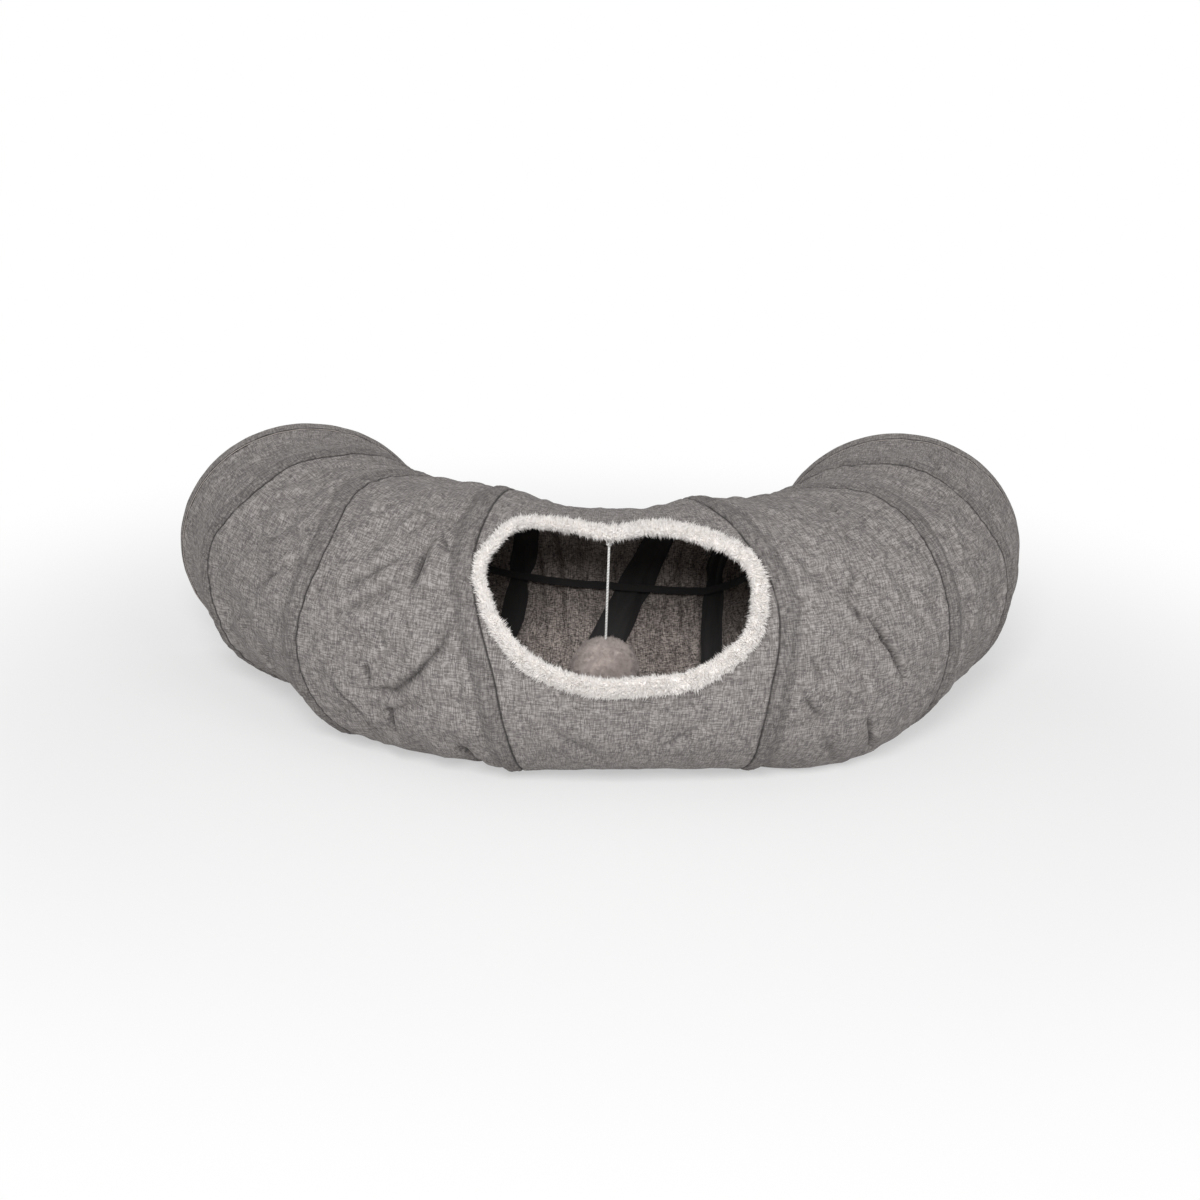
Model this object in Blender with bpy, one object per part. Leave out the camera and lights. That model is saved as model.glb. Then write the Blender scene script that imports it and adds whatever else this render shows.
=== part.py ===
"""Curved pop-up cat tunnel: a cloth tube bent to a half ring by a strap along its inner side.

One spring wire runs through the whole tube. It lies in a plane down the outer side of each turn,
climbs to the next turn up the inner side, and closes flat in the hem of each mouth. The cloth is cut
along the same spiral, and binding tape holds the wire against its seams. A plush roll edges the
peephole, and a soft ball hangs from it on a cord.

Metres, +Z up. The origin is on the floor, in the middle of the peephole bay's flat underside. The
tube bends round a vertical axis at +Y, so its outer side and its peephole face -Y.

Two angles place every point of the tube. The sweep is the angle round the vertical bend axis, zero in
the middle of the peephole bay and positive towards +X. The around angle goes round the tube's section:
0 on top, 90 on the outer side, 180 underneath and 270 on the inner side. Both are in degrees.
"""
import math

import bmesh
import bpy
from mathutils import Vector

# Tube
BEND_RADIUS = 0.300
TUBE_WIDTH = 0.250
TUBE_HEIGHT = 0.241
FLAT_DEPTH = 0.0027
CLOTH_THICKNESS = 0.0012

# Slack of the cloth between its tapes, as shares of the tube's width: on top, on the outer side and low
# on the outer side. It sinks in where above 0 and bellies out where below. From the left mouth's bay on
SLACK_SHARES = ((0.016, 0.044, 0.044), (0.012, 0.036, 0.050), (-0.020, 0.008, -0.016), (0.026, 0.016, 0.024),
                (0.014, 0.0, -0.072), (0.010, 0.012, 0.0), (0.010, 0.008, 0.008))
SLACK_AROUND = (-20.0, 75.0, 147.0)
TAUT_AROUND = (-100.0, 186.0)

# Bays, as sweeps in degrees, counted outwards from the peephole
PEEPHOLE_BAY_SWEEP = 39.0
LEFT_BAY_SWEEPS = (23.5, 20.0, 19.0)
RIGHT_BAY_SWEEPS = (26.0, 18.0, 18.5)

# Spiral, in degrees round the tube: where the seam leaves one ring's plane and reaches the next
STEP = 12.0
LIFT_START = 144.0
LIFT_END = 348.0
CUT_START = -156.0
CUT_END = 204.0

# Spring wire
WIRE_DIAMETER = 0.0022
WIRE_PLAY = 0.0004
WIRE_LAP_GAP = 0.0006

# Binding tape
TAPE_WIDTH = 0.025
TAPE_THICKNESS = 0.0012
TAPE_GAP = 0.0005

# Mouth hems
HEM_WIDTH = 0.020
HEM_FOLD_RADIUS = 0.0016
WEDGE_TIP = 0.0008
WEDGE_LEAST_WIDTH = 0.002

# Gathering strap on the inner side
STRAP_WIDTH = 0.008
STRAP_THICKNESS = 0.0008
STRAP_AROUND = 270.0
STRAP_END_INSET = 0.008
STRAP_STEP = 3.0

# Peephole, measured on the cloth along the middle of its plush roll
PEEPHOLE_WIDTH = 0.236
PEEPHOLE_HEIGHT = 0.154
PEEPHOLE_AROUND = 50.0
ROLL_DIAMETER = 0.0145
PEEPHOLE_POINTS = 48
ROLL_SIDES = 10
CUT_REACH = 0.060

# Hanging ball
HANG_SHIFT = -0.011
KNOT_DIAMETER = 0.0052
CORD_DIAMETER = 0.0022
CORD_LENGTH = 0.0875
CORD_POINTS = 16
BALL_DIAMETER = 0.060

# Clearances between neighbours
SEAM_GAP = 0.0003
SEAT_GAP = 0.0003

# Columns of facets across a bay, between its two tapes
BAY_COLUMNS = 5

# Depths of the layers below the tube's outer face
WIRE_DEPTH = CLOTH_THICKNESS + WIRE_PLAY + WIRE_DIAMETER / 2
LINER_DEPTH = CLOTH_THICKNESS + WIRE_DIAMETER + 2 * WIRE_PLAY
LINER_INNER_DEPTH = LINER_DEPTH + TAPE_THICKNESS
CHORD_SAG = TUBE_WIDTH / 2 * (1 - math.cos(math.radians(STEP / 2)))
STRAP_DEPTH = LINER_INNER_DEPTH + CHORD_SAG + SEAT_GAP

# Places of the wire in the hem, measured from the mouth's edge
WIRE_OUTER_INSET = CLOTH_THICKNESS + WIRE_PLAY + WIRE_DIAMETER / 2
WIRE_INNER_INSET = WIRE_OUTER_INSET + WIRE_DIAMETER + WIRE_LAP_GAP


def ring_sweeps():
    """Sweep of each ring of wire, from the left mouth to the right mouth."""
    left = [-PEEPHOLE_BAY_SWEEP / 2]
    right = [PEEPHOLE_BAY_SWEEP / 2]
    for bay in LEFT_BAY_SWEEPS:
        left.append(left[-1] - bay)
    for bay in RIGHT_BAY_SWEEPS:
        right.append(right[-1] + bay)
    return left[::-1] + right


RINGS = ring_sweeps()
LAST = len(RINGS) - 1
PEEPHOLE_STRIP = len(LEFT_BAY_SWEEPS)


def reach(around, depth=0.0):
    """Distance from the bend axis to the tube's skin."""
    return BEND_RADIUS + (TUBE_WIDTH / 2 - depth) * math.sin(math.radians(around))


def degrees_of(length, around):
    """Sweep, in degrees, that a length along the bend takes up at an around angle."""
    return math.degrees(length / reach(around))


def skin(sweep, around, depth=0.0, sag=0.0):
    """Point on the tube, so deep below its outer face. The underside is flat where it rests."""
    turn, bend = math.radians(around), math.radians(sweep)
    radius = TUBE_WIDTH / 2 - depth - sag
    out = BEND_RADIUS + radius * math.sin(turn)
    height = TUBE_HEIGHT / 2 - FLAT_DEPTH + radius * math.cos(turn) * TUBE_HEIGHT / TUBE_WIDTH
    return Vector((out * math.sin(bend), BEND_RADIUS - out * math.cos(bend), max(height, depth)))


def ring_sweep(ring, around):
    """Sweep of a ring's wire. At the mouths the wire lies inside the hem."""
    if ring <= 0:
        return RINGS[0] + degrees_of(WIRE_INNER_INSET, around)
    if ring >= LAST:
        return RINGS[LAST] - degrees_of(WIRE_INNER_INSET, around)
    return RINGS[ring]


def spiral(ring, around):
    """Sweep of the spiral seam: the plane of this ring on the outer side, then the climb to the next."""
    turns, local = divmod(around - LIFT_START, 360.0)
    start = ring + int(turns)
    share = min(local / (LIFT_END - LIFT_START), 1.0)
    eased = share - math.sin(2 * math.pi * share) / (2 * math.pi)
    low, high = ring_sweep(start, around), ring_sweep(start + 1, around)
    return low + (high - low) * eased


def tape_half_sweep(ring, around):
    """Half the tape's width, as a sweep. It grows where the seam runs at a slant."""
    ahead = skin(spiral(ring, around + 1), around + 1)
    behind = skin(spiral(ring, around - 1), around - 1)
    along = (ahead - behind).normalized()
    level = skin(spiral(ring, around) + 1, around) - skin(spiral(ring, around) - 1, around)
    square = math.sqrt(max(1 - along.dot(level.normalized()) ** 2, 0.0))
    return degrees_of(TAPE_WIDTH / 2 / square, around)


def hem_edge(side, around):
    """Sweep of the hem's inner edge, at the left mouth (-1) or the right one (+1)."""
    mouth = RINGS[0] if side < 0 else RINGS[LAST]
    return mouth - side * degrees_of(HEM_WIDTH, around)


def stations(first, last):
    """Around angles from first to last, a step apart, drawn in at both ends by half a seam gap."""
    inset = math.degrees(SEAM_GAP / TUBE_WIDTH)
    count = round((last - first) / STEP)
    angles = [first + STEP * i for i in range(count + 1)]
    angles[0] += inset
    angles[-1] -= inset
    return angles


def material(name, colour, roughness, metallic=0.0):
    """A plain finish, with its colour in linear values."""
    made = bpy.data.materials.new(name)
    made.use_nodes = True
    shader = made.node_tree.nodes["Principled BSDF"]
    shader.inputs["Base Color"].default_value = (*colour, 1.0)
    shader.inputs["Roughness"].default_value = roughness
    shader.inputs["Metallic"].default_value = metallic
    return made


def pivot(name, place, parent=None):
    """An empty on a joint's axis, which carries the pieces that turn there."""
    empty = bpy.data.objects.new(name, None)
    bpy.context.scene.collection.objects.link(empty)
    empty.parent = parent
    empty.location = place - (parent.matrix_world.translation if parent else Vector())
    bpy.context.view_layer.update()
    return empty


def add(name, data, finish, carrier=None):
    """Puts modelled data in the scene, with its origin on the pivot that carries it."""
    made = bpy.data.objects.new(name, data)
    bpy.context.scene.collection.objects.link(made)
    data.materials.append(finish)
    if carrier:
        for part in data.vertices if isinstance(data, bpy.types.Mesh) else data.splines[0].points:
            part.co = Vector((*(Vector(part.co[:3]) - carrier.matrix_world.translation), 1.0))[:len(part.co)]
        made.parent = carrier
    return made


def mesh_from(bm, name):
    """Closes a bmesh into mesh data with its faces pointing out and its round sides smooth."""
    bmesh.ops.triangulate(bm, faces=bm.faces, quad_method="FIXED")
    bmesh.ops.recalc_face_normals(bm, faces=bm.faces)
    data = bpy.data.meshes.new(name)
    bm.to_mesh(data)
    bm.free()
    data.shade_smooth()
    data.set_sharp_from_angle(angle=math.radians(40))
    return data


def shell(name, outside, inside, closed=False):
    """A sheet with thickness, from the rows of points of its two faces. Closed joins last row to first."""
    bm = bmesh.new()
    faces = [[[bm.verts.new(p) for p in row] for row in side] for side in (outside, inside)]
    rows, columns = len(outside), len(outside[0])
    turns = rows if closed else rows - 1
    for side in faces:
        for r in range(turns):
            here, there = side[r], side[(r + 1) % rows]
            for c in range(columns - 1):
                bm.faces.new((here[c], here[c + 1], there[c + 1], there[c]))
    top, under = faces
    for r in range(turns):
        after = (r + 1) % rows
        for c in (0, columns - 1):
            bm.faces.new((top[r][c], top[after][c], under[after][c], under[r][c]))
    if not closed:
        for r in (0, rows - 1):
            for c in range(columns - 1):
                bm.faces.new((top[r][c], top[r][c + 1], under[r][c + 1], under[r][c]))
    return mesh_from(bm, name)


def strip_limits(strip, around):
    """Sweeps of a cloth strip's two seams at an around angle, where the hems may cut it short."""
    tip = degrees_of(WEDGE_TIP, around)
    low, high = hem_edge(-1, around), hem_edge(1, around)
    left = min(max(spiral(strip, around), low + tip), high - tip)
    right = min(max(spiral(strip + 1, around), low + tip), high - tip)
    if strip == 0:
        left = low
    if strip == LAST - 1 and around > LIFT_END - 360:
        right = high
    gap = degrees_of(SEAM_GAP / 2, around)
    return left + gap, right - gap


def strip_edges(strip, around):
    """Sweeps of a strip's left seam, left tape edge, right tape edge and right seam."""
    left, right = strip_limits(strip, around)
    most = (right - left) / 4
    left_tape = min(tape_half_sweep(strip, around), most) if strip > 0 else most
    right_tape = min(tape_half_sweep(strip + 1, around), most)
    return left, left + left_tape, right - right_tape, right


def slack_at(strip, around):
    """Depth of the cloth's sag in the middle of a strip. It is taut underneath and on the inner side."""
    knots = (TAUT_AROUND[0],) + SLACK_AROUND + (TAUT_AROUND[1],)
    shares = (0.0,) + SLACK_SHARES[strip] + (0.0,)
    turn = around - 360 if around > LIFT_END - STEP * 2 else around
    if not knots[0] < turn < knots[-1]:
        return 0.0
    after = next(i for i, knot in enumerate(knots) if knot > turn)
    part = (turn - knots[after - 1]) / (knots[after] - knots[after - 1])
    eased = part * part * (3 - 2 * part)
    return TUBE_WIDTH * (shares[after - 1] + (shares[after] - shares[after - 1]) * eased)


def sag_at(strip, sweep, around, edges):
    """How far the slack cloth of a strip sinks in at a sweep, between its tapes. Narrow ends stay taut."""
    left, low, high, right = edges
    share = min(max((sweep - low) / (high - low), 0.0), 1.0)
    loose = max(2 - (right - left) / (high - low), 0.0)
    return slack_at(strip, around) * loose * math.sin(math.pi * share)


def strip_rows(strip, angles):
    """Rows of points of a strip's outer and inner faces."""
    outside, inside = [], []
    for around in angles:
        edges = strip_edges(strip, around)
        left, low, high, right = edges
        inner = [low + (high - low) * c / BAY_COLUMNS for c in range(BAY_COLUMNS + 1)]
        sweeps = [left] + inner + [right]
        sags = [sag_at(strip, s, around, edges) for s in sweeps]
        outside.append([skin(s, around, 0.0, d) for s, d in zip(sweeps, sags)])
        inside.append([skin(s, around, CLOTH_THICKNESS, d) for s, d in zip(sweeps, sags)])
    return outside, inside


def strip_angles(strip):
    """Around angles that a strip covers. The two end strips taper off against the mouths' hems."""
    last = LAST - 1
    if strip == 0:
        wide = [a for a in stations(CUT_START, CUT_END) if strip_width(strip, a) > WEDGE_LEAST_WIDTH]
        return [wide[0] - STEP] + wide
    if strip == last:
        tail = stations(CUT_START, CUT_END + (LIFT_END - CUT_END) + STEP)
        wide = [a for a in tail if a < CUT_END or strip_width(strip, a) > WEDGE_LEAST_WIDTH]
        return wide + [wide[-1] + STEP]
    return stations(CUT_START, CUT_END)


def strip_width(strip, around):
    """Width of a strip along the bend."""
    left, right = strip_limits(strip, around)
    return math.radians(right - left) * reach(around)


def cloth_strip(name, strip):
    """One length of the cloth, from one turn of the seam to the next."""
    outside, inside = strip_rows(strip, strip_angles(strip))
    return shell(name, outside, inside)


def tape(name, ring):
    """Binding tape tented over the wire along one turn of the seam."""
    edge_depth = CLOTH_THICKNESS + TAPE_GAP
    outside, inside = [], []
    for around in stations(CUT_START, CUT_END):
        middle, half = spiral(ring, around), tape_half_sweep(ring, around)
        gap = degrees_of(SEAM_GAP, around)
        if middle - half < hem_edge(-1, around) + gap or middle + half > hem_edge(1, around) - gap:
            continue
        sweeps, depths = (middle - half, middle, middle + half), (edge_depth, LINER_DEPTH, edge_depth)
        outside.append([skin(s, around, d) for s, d in zip(sweeps, depths)])
        inside.append([skin(s, around, d + TAPE_THICKNESS) for s, d in zip(sweeps, depths)])
    return shell(name, outside, inside)


def hem(name, side):
    """The end of the cloth, folded in over the mouth's wire and sewn down: a channel with a round fold."""
    fold, cloth, deep = HEM_FOLD_RADIUS, CLOTH_THICKNESS, LINER_INNER_DEPTH
    corner = cloth + (fold - cloth / 2)
    wall = [(HEM_WIDTH, deep), (fold, deep), (0.0, deep - fold), (0.0, fold), (fold, 0.0), (HEM_WIDTH, 0.0)]
    channel = [(HEM_WIDTH, deep - cloth), (corner, deep - cloth), (cloth, deep - corner), (cloth, corner),
               (corner, cloth), (HEM_WIDTH, cloth)]
    mouth = RINGS[0] if side < 0 else RINGS[LAST]
    angles = [STEP * i for i in range(round(360 / STEP))]
    rows = [[[skin(mouth - side * degrees_of(inset, a), a, depth) for inset, depth in profile]
             for a in angles] for profile in (wall, channel)]
    return shell(name, rows[0], rows[1], closed=True)


def wire_points():
    """The spring's middle line: a flat closing turn in each hem, and the spiral between them."""
    points = []
    first = LIFT_START - 360
    last = LIFT_END + 360 * LAST
    for i in range(round((last - first) / STEP) + 1):
        turn = first + STEP * i
        sweep = spiral(0, turn)
        lap_in = max(1 - (turn - first) / 360, 0.0)
        lap_out = max(1 - (last - turn) / 360, 0.0)
        sweep += (lap_out - lap_in) * degrees_of(WIRE_INNER_INSET - WIRE_OUTER_INSET, turn)
        points.append(skin(sweep, turn, WIRE_DEPTH))
    return points


def tube_curve(name, points, diameter):
    """A round rod or cord along points, with closed ends."""
    curve = bpy.data.curves.new(name, "CURVE")
    curve.dimensions = "3D"
    curve.bevel_depth = diameter / 2
    curve.bevel_resolution = 1
    curve.use_fill_caps = True
    spline = curve.splines.new("POLY")
    spline.points.add(len(points) - 1)
    for point, place in zip(spline.points, points):
        point.co = (*place, 1.0)
    return curve


def report_wire_gap(points):
    """Prints the least gap between two turns of the wire, measured on its points."""
    quarter = round(90 / STEP)
    least = min((a - b).length for i, a in enumerate(points) for b in points[i + quarter:])
    print(f"spring wire: {len(points)} points, least gap to itself {(least - WIRE_DIAMETER) * 1000:.2f} mm")


def strap(name):
    """The strap that draws in the tube's inner side, from one hem to the other."""
    first = RINGS[0] + degrees_of(STRAP_END_INSET, STRAP_AROUND)
    last = RINGS[LAST] - degrees_of(STRAP_END_INSET, STRAP_AROUND)
    count = round((last - first) / STRAP_STEP)
    half = math.degrees(STRAP_WIDTH / TUBE_WIDTH)
    outside, inside = [], []
    for i in range(count + 1):
        sweep = first + (last - first) * i / count
        outside.append([skin(sweep, STRAP_AROUND + s * half, STRAP_DEPTH) for s in (-1, 1)])
        inside.append([skin(sweep, STRAP_AROUND + s * half, STRAP_DEPTH + STRAP_THICKNESS) for s in (-1, 1)])
    return shell(name, outside, inside)


def peephole_place(turn):
    """Sweep and around angle of the peephole's outline, at a turn from its right-hand end."""
    around = PEEPHOLE_AROUND - math.degrees(PEEPHOLE_HEIGHT / TUBE_WIDTH) * math.sin(turn)
    return degrees_of(PEEPHOLE_WIDTH / 2 * math.cos(turn), around), around


def on_cloth(sweep, around, depth=0.0):
    """Point on the peephole strip, with the cloth's sag."""
    edges = strip_edges(PEEPHOLE_STRIP, around)
    return skin(sweep, around, depth, sag_at(PEEPHOLE_STRIP, sweep, around, edges))


def outline_frames():
    """Middle, outward normal and sideways direction at each point of the peephole's outline."""
    places = [peephole_place(2 * math.pi * i / PEEPHOLE_POINTS) for i in range(PEEPHOLE_POINTS)]
    middles = [on_cloth(s, a, CLOTH_THICKNESS / 2) for s, a in places]
    frames = []
    for i, (sweep, around) in enumerate(places):
        along = middles[(i + 1) % PEEPHOLE_POINTS] - middles[i - 1]
        out = on_cloth(sweep, around) - on_cloth(sweep, around, CLOTH_THICKNESS)
        side = out.cross(along).normalized()
        if side.dot(middles[i] - sum(middles, Vector()) / PEEPHOLE_POINTS) < 0:
            side.negate()
        frames.append((middles[i], out.normalized(), side))
    return frames


def roll(name, diameter):
    """A round roll along the peephole's outline."""
    bm = bmesh.new()
    rows = []
    for middle, out, side in outline_frames():
        turns = [2 * math.pi * k / ROLL_SIDES for k in range(ROLL_SIDES)]
        rows.append([bm.verts.new(middle + (side * math.cos(t) + out * math.sin(t)) * diameter / 2)
                     for t in turns])
    for here, there in zip(rows, rows[1:] + rows[:1]):
        for k in range(ROLL_SIDES):
            after = (k + 1) % ROLL_SIDES
            bm.faces.new((here[k], here[after], there[after], there[k]))
    return mesh_from(bm, name)


def plug(name):
    """The block that cuts the peephole out, as wide as the roll needs."""
    bm = bmesh.new()
    half = ROLL_DIAMETER / 2 + SEAT_GAP
    frames = outline_frames()
    rims = [[bm.verts.new(m + s * half + o * CUT_REACH * way) for m, o, s in frames] for way in (1, 0, -1)]
    for upper, lower in zip(rims, rims[1:]):
        for i in range(PEEPHOLE_POINTS):
            after = (i + 1) % PEEPHOLE_POINTS
            bm.faces.new((upper[i], upper[after], lower[after], lower[i]))
    for rim in (rims[0], rims[-1]):
        hub = bm.verts.new(sum((v.co for v in rim), Vector()) / PEEPHOLE_POINTS)
        for i in range(PEEPHOLE_POINTS):
            bm.faces.new((rim[i], rim[(i + 1) % PEEPHOLE_POINTS], hub))
    return mesh_from(bm, name)


def cutter(name, data, finish):
    """A guide solid that only cuts others."""
    made = add(name, data, finish)
    made.hide_render = True
    made.display_type = "WIRE"
    return made


def cut(target, tool):
    """Takes the tool's shape out of the target."""
    boolean = target.modifiers.new("cut", "BOOLEAN")
    boolean.operation = "DIFFERENCE"
    boolean.solver = "EXACT"
    boolean.object = tool


def ball_mesh(name, diameter, centre, rings, segments):
    """A round ball."""
    bm = bmesh.new()
    bmesh.ops.create_uvsphere(bm, u_segments=segments, v_segments=rings, radius=diameter / 2)
    bmesh.ops.translate(bm, verts=bm.verts, vec=centre)
    return mesh_from(bm, name)


def build():
    """Makes every piece of the tunnel."""
    for old in list(bpy.data.objects):
        bpy.data.objects.remove(old)

    cloth = material("grey heather polyester", (0.26, 0.245, 0.235), 0.95)
    binding = material("black polyester tape", (0.012, 0.011, 0.010), 0.9)
    steel = material("spring steel", (0.45, 0.45, 0.46), 0.35, 1.0)
    plush = material("off-white plush", (0.70, 0.66, 0.63), 1.0)
    string = material("white cord", (0.65, 0.64, 0.62), 0.8)
    fluff = material("greige faux fur", (0.30, 0.255, 0.235), 1.0)

    bend_axis = Vector((0.0, BEND_RADIUS, 0.0))
    carriers = {"root": None}
    for side in ("left", "right"):
        carrier = None
        for number in (1, 2, 3):
            carrier = pivot(f"{side}_bay_{number}_axis", bend_axis, carrier)
            carriers[f"{side}_{number}"] = carrier

    def bay_name(strip):
        """Side and number of a strip's bay, counted from the peephole."""
        if strip < PEEPHOLE_STRIP:
            return "left", PEEPHOLE_STRIP - strip
        return "right", strip - PEEPHOLE_STRIP

    notch = cutter("roll_clearance", roll("roll_clearance", ROLL_DIAMETER + 2 * TAPE_GAP), plush)
    hole = cutter("peephole_plug", plug("peephole_plug"), cloth)

    for strip in range(LAST):
        if strip == PEEPHOLE_STRIP:
            panel = add("peephole_panel", cloth_strip("peephole_panel", strip), cloth)
            cut(panel, hole)
            continue
        side, number = bay_name(strip)
        name = f"{side}_panel_{number}"
        add(name, cloth_strip(name, strip), cloth, carriers[f"{side}_{number}"])

    for ring in range(1, LAST + 1):
        on_left = ring <= PEEPHOLE_STRIP
        side, number = ("left", PEEPHOLE_STRIP - ring + 1) if on_left else ("right", ring - PEEPHOLE_STRIP)
        name = f"{side}_wire_tape_{number}"
        carrier = carriers[f"{side}_{number - 1}"] if number > 1 else None
        made = add(name, tape(name, ring), binding, carrier)
        if number == 1:
            cut(made, notch)

    add("left_mouth_hem", hem("left_mouth_hem", -1), cloth, carriers["left_3"])
    add("right_mouth_hem", hem("right_mouth_hem", 1), cloth, carriers["right_3"])

    points = wire_points()
    report_wire_gap(points)
    add("spring_wire", tube_curve("spring_wire", points, WIRE_DIAMETER), steel)
    add("gathering_strap", strap("gathering_strap"), binding)
    add("peephole_roll", roll("peephole_roll", ROLL_DIAMETER), plush)

    top_around = PEEPHOLE_AROUND - math.degrees(PEEPHOLE_HEIGHT / TUBE_WIDTH)
    hang = on_cloth(degrees_of(HANG_SHIFT, top_around), top_around, CLOTH_THICKNESS / 2)
    knot_centre = hang - Vector((0.0, 0.0, ROLL_DIAMETER / 2 + SEAT_GAP + KNOT_DIAMETER / 2))
    cord_top = knot_centre - Vector((0.0, 0.0, KNOT_DIAMETER / 2 + SEAT_GAP))
    cord_end = cord_top - Vector((0.0, 0.0, CORD_LENGTH))
    ball_centre = cord_end - Vector((0.0, 0.0, SEAT_GAP + BALL_DIAMETER / 2))
    sideways = pivot("ball_side_pivot", knot_centre)
    forwards = pivot("ball_front_pivot", knot_centre, sideways)
    add("cord_knot", ball_mesh("cord_knot", KNOT_DIAMETER, knot_centre, 6, 10), string, sideways)
    cord_route = [cord_top.lerp(cord_end, i / (CORD_POINTS - 1)) for i in range(CORD_POINTS)]
    add("ball_cord", tube_curve("ball_cord", cord_route, CORD_DIAMETER), string, forwards)
    add("plush_ball", ball_mesh("plush_ball", BALL_DIAMETER, ball_centre, 14, 24), fluff, forwards)
    print("knot centre", tuple(round(v, 5) for v in knot_centre))
    print("ball centre", tuple(round(v, 5) for v in ball_centre))


build()
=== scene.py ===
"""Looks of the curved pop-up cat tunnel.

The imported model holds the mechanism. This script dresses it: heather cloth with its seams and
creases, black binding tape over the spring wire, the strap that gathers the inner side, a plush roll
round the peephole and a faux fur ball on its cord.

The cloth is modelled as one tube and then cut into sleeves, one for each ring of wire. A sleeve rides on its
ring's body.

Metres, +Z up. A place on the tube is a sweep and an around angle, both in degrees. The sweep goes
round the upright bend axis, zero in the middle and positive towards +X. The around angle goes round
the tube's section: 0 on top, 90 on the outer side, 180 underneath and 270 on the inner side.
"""
from __future__ import annotations

import logging
import math
from dataclasses import dataclass
from enum import Enum
from itertools import product
from typing import Callable, Iterator, Sequence

import bmesh
import bpy
import numpy as np
from bmesh.types import BMEdge, BMesh, BMFace, BMVert
from bpy.types import Material, Node, NodeSocket, NodeTree, Object
from mathutils import Matrix, Vector, noise

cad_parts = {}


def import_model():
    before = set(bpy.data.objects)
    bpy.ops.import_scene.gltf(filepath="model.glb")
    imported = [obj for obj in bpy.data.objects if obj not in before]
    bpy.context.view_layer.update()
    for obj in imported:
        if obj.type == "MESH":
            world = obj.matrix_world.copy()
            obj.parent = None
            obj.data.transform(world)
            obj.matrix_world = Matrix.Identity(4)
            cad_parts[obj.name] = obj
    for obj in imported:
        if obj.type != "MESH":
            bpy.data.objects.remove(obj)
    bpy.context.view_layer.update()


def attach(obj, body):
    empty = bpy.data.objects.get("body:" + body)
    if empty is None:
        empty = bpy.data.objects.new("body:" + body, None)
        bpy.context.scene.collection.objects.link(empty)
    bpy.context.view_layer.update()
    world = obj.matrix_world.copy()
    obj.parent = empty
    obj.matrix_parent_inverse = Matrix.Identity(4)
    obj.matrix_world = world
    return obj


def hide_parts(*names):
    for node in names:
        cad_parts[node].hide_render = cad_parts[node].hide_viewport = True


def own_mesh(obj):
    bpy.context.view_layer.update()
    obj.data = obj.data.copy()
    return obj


LOG = logging.getLogger("cat_tunnel")
MM = 0.001
# Vertices nearer than this are merged.
WELD = 0.02 * MM
# A turn of seam, tape or hem begins and ends underneath, at these around angles.
TURN_START, TURN_END = -156.0, 204.0
# Metres of flat cloth for each radian around the section, and for each radian of sweep.
CLOTH_AROUND, CLOTH_ALONG = 0.125, 0.40
# The strip of cloth that holds the peephole, counted from the left mouth.
MIDDLE_STRIP = 3
# A sweep past both mouths, where nothing is left to cut.
BEYOND_MOUTHS = 90.0

Array = np.ndarray
Pair = tuple[np.ndarray, np.ndarray]
Placer = Callable[[np.ndarray, np.ndarray], Pair]
Knots = Sequence[tuple[float, float]]
Texture = tuple[str, dict, dict]


class Side(Enum):
    """The two halves of the tunnel, as seen from the peephole's side."""

    LEFT = -1
    RIGHT = 1


def blur_weights(reach: int, blur: float) -> Array:
    """Weights of a moving mean that rounds off corners. They sum to one."""
    weights = np.exp(-0.5 * (np.arange(-reach, reach + 1) / blur) ** 2)
    return weights / weights.sum()


def eased_table(knots: Knots, angles: Array, blur: float = 5.0) -> Array:
    """Reads a smooth curve through a table of angles and values.

    Args:
        knots: Angle and value pairs, in rising order of angle. The ends hold their value.
        angles: Where to read the curve.
        blur: How far, in degrees, the corners are rounded.

    Returns:
        The curve's values.
    """
    grid = np.arange(-260.0, 421.0, 1.0)
    xs, ys = zip(*knots)
    reach = int(3 * blur)
    padded = np.pad(np.interp(grid, xs, ys), reach, mode="edge")
    return np.interp(angles, grid, np.convolve(padded, blur_weights(reach, blur), mode="valid"))


def soft_noise(points: Array, seed: int = 0) -> Array:
    """Smooth gradient noise at many points at once.

    Args:
        points: Rows of up to three coordinates. The noise changes over a distance of one.
        seed: Chooses the pattern.

    Returns:
        Values on both sides of nought, mostly within 0.5 of it.
    """
    points = np.pad(points, ((0, 0), (0, 3 - points.shape[1])))
    rng = np.random.default_rng(seed)
    order = rng.permutation(256)
    slopes = rng.normal(size=(256, 3))
    slopes /= np.linalg.norm(slopes, axis=1, keepdims=True)
    cell = np.floor(points).astype(int)
    local = points - cell
    eased = local ** 3 * (local * (local * 6 - 15) + 10)
    total = np.zeros(len(points))
    for corner in product((0, 1), repeat=3):
        grid = (cell + corner) & 255
        index = order[(order[(order[grid[:, 0]] + grid[:, 1]) & 255] + grid[:, 2]) & 255]
        weight = np.prod(np.where(corner, eased, 1 - eased), axis=1)
        total += weight * ((local - corner) * slopes[index]).sum(axis=1)
    return 1.45 * total


def columns_of(*values: Array | float) -> Array:
    """Sets arrays side by side, as the coordinates of points."""
    return np.stack(np.broadcast_arrays(*values), axis=-1).astype(float)


def bell(distance: Array, width: Array | float) -> Array:
    """A bell curve: one at no distance, and fallen to about a third at the width."""
    return np.exp(-((distance / width) ** 2))


def share(values: Array) -> Array:
    """Keeps values between nought and one."""
    return np.clip(values, 0.0, 1.0)


def half_turn(angles: Array) -> Array:
    """The same angles, from -180 to 180 degrees."""
    return (angles + 180.0) % 360.0 - 180.0


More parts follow.
